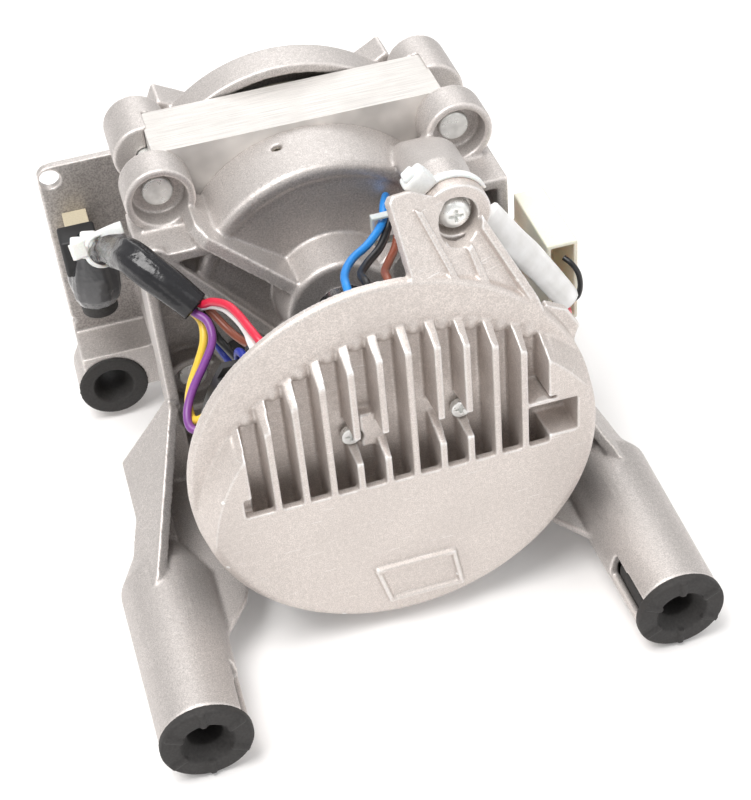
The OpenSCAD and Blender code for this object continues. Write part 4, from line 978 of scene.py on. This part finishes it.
class MOTOR_OT_plug(bpy.types.Operator):
    """Makes the plug on the right with its flat sleeve and two leads"""
    bl_idname = "motor.plug"
    bl_label = "Plug and sleeve"

    def execute(self, context):
        s = sizes()
        body = soft_form("plug_shell", cad_copy("plug_housing"), s.small_detail * 1.3, passes=2, most=90000)
        dress(body, "plug_housing", "cream_plastic", "plug_housing")
        sleeve = flat_sleeve("plug_flat_sleeve", PLUG_SLEEVE, PLUG_SLEEVE_WIDTHS, PLUG_SLEEVE_DEPTHS,
                             folds=0.25, mouth=True)
        dress(sleeve, "plug_sleeve", "white_sleeve", "plug_sleeve")
        leads = joined("plug_leads", [
            lead("a", SENSOR_LEADS["sensor_black"], SENSOR_LEAD_RADIUS, "black_wire"),
            lead("b", SENSOR_LEADS["sensor_red"], SENSOR_LEAD_RADIUS, "red")])
        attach(leads, BODY["sensor_leads"])
        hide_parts("sensor_leads")
        return {"FINISHED"}


class MOTOR_OT_connector(bpy.types.Operator):
    """Makes the loom connector on the left, its boot of black film and the grommet"""
    bl_idname = "motor.connector"
    bl_label = "Loom connector"

    def execute(self, context):
        s = sizes()
        shell = soft_form("connector_shell", cad_copy("harness_connector"), s.small_detail,
                          passes=2, most=60000)
        dress(shell, "harness_connector", "beige_plastic", "harness_connector")
        box = block("boot_box", (-90.5, 31.8, -14), (-76.2, 43.6, 2), bevel=1.3)
        film = bag("boot_film", FILM_LEVELS, folds=0.24)
        box.data.materials.append(finishes()["black_plastic"])
        film.data.materials.append(finishes()["film"])
        boot = joined("film_boot", [box, film])
        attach(boot, BODY["connector_boot"])
        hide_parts("connector_boot")
        ring = soft_form("loom_grommet", cad_copy("boot_grommet"), s.small_detail, passes=4, most=40000)
        dress(ring, "boot_grommet", "rubber", "boot_grommet")
        return {"FINISHED"}


class MOTOR_OT_ties(bpy.types.Operator):
    """Makes the cable ties"""
    bl_idname = "motor.ties"
    bl_label = "Cable ties"

    def execute(self, context):
        detail = sizes().small_detail
        for name, node, passes in (("loom_band", "loom_tie", 3), ("arm_strap", "arm_tie", 8),
                                   ("lead_strap", "lead_tie", 9)):
            piece = soft_form(name, cad_copy(node), detail, passes, most=60000)
            if node == "loom_tie":
                x, station, z = LOOM_TIE_HEAD
                turn = Matrix.Rotation(LOOM_TIE_TURN, 3, "Y")
                head = block("head", (x - 3.1, station - 3, z - 4.8), (x + 3.1, station + 3, z + 4.6),
                             bevel=1.4, turn=turn, centre=LOOM_TIE_HEAD)
                pawl = block("pawl", (x - 6.8, station - 2, z - 1.6), (x - 2, station + 2, z + 2.8),
                             bevel=1.1, turn=turn, centre=LOOM_TIE_HEAD)
                tail = flat_sleeve("tail", LOOM_TIE_TAIL, TAIL_WIDTHS, TAIL_DEPTHS,
                                   folds=0.0, mouth=False)
                piece = joined("loom_strap", [piece, head, pawl, tail])
            if node == "arm_tie":
                x, station, z = ARM_TIE_HEAD
                turn = Matrix.Rotation(ARM_TIE_TURN, 3, "Y")
                head = block("head", (x - 4.4, station - 3.1, z - 3.8), (x + 4.4, station + 3.1, z + 4),
                             bevel=1.7, turn=turn, centre=ARM_TIE_HEAD)
                pawl = block("pawl", (x - 2.4, station - 2.2, z + 2), (x + 2, station + 2.2, z + 5.6),
                             bevel=1.1, turn=turn, centre=ARM_TIE_HEAD)
                piece = joined("arm_strap", [piece, head, pawl])
            dress(piece, node, "clear_nylon" if node == "lead_tie" else "white_plastic", node)
        return {"FINISHED"}


class MOTOR_OT_inner(bpy.types.Operator):
    """Gives every other solid its finish"""
    bl_idname = "motor.inner"
    bl_label = "Inner parts"

    def execute(self, context):
        # The balls' poles hold faces of no area, which are dropped
        for node in ("front_bearing_balls", "rear_bearing_balls"):
            mesh = cad_copy(node)
            bm = bmesh.new()
            bm.from_mesh(mesh)
            bmesh.ops.dissolve_degenerate(bm, edges=bm.edges, dist=1e-6)
            bm.to_mesh(mesh)
            bm.free()
            dress(new_object(node + "_ground", mesh), node, SLOT[node], node)
        for node, obj in NODES.items():
            if obj.hide_render:
                continue
            finish = finishes()[SLOT[node]]
            if obj.material_slots:
                for held in obj.material_slots:
                    held.material = finish
            else:
                obj.data.materials.append(finish)
        return {"FINISHED"}


class MOTOR_PT_panel(bpy.types.Panel):
    """Lists the steps that build the motor"""
    bl_label = "Motor"
    bl_idname = "MOTOR_PT_panel"
    bl_space_type = "VIEW_3D"
    bl_region_type = "UI"
    bl_category = "Motor"

    def draw(self, context):
        for group in (context.scene.motor_sizes, context.scene.motor_colours):
            for key in group.__annotations__:
                self.layout.prop(group, key)
        for step in STEPS:
            self.layout.operator(step.bl_idname)


STEPS = (MOTOR_OT_stage, MOTOR_OT_castings, MOTOR_OT_stator, MOTOR_OT_bushes, MOTOR_OT_small_metal,
         MOTOR_OT_loom, MOTOR_OT_plug, MOTOR_OT_connector, MOTOR_OT_ties, MOTOR_OT_inner)
CLASSES = (MotorSizes, MotorColours, *STEPS, MOTOR_PT_panel)


def register():
    for cls in CLASSES:
        bpy.utils.register_class(cls)
    bpy.types.Scene.motor_sizes = PointerProperty(type=MotorSizes)
    bpy.types.Scene.motor_colours = PointerProperty(type=MotorColours)


def unregister():
    del bpy.types.Scene.motor_colours
    del bpy.types.Scene.motor_sizes
    for cls in reversed(CLASSES):
        bpy.utils.unregister_class(cls)


def main():
    register()
    bpy.ops.motor.stage()
    bpy.ops.motor.castings()
    bpy.ops.motor.stator()
    bpy.ops.motor.bushes()
    bpy.ops.motor.small_metal()
    bpy.ops.motor.loom()
    bpy.ops.motor.plug()
    bpy.ops.motor.connector()
    bpy.ops.motor.ties()
    bpy.ops.motor.inner()


if __name__ == "__main__":
    main()
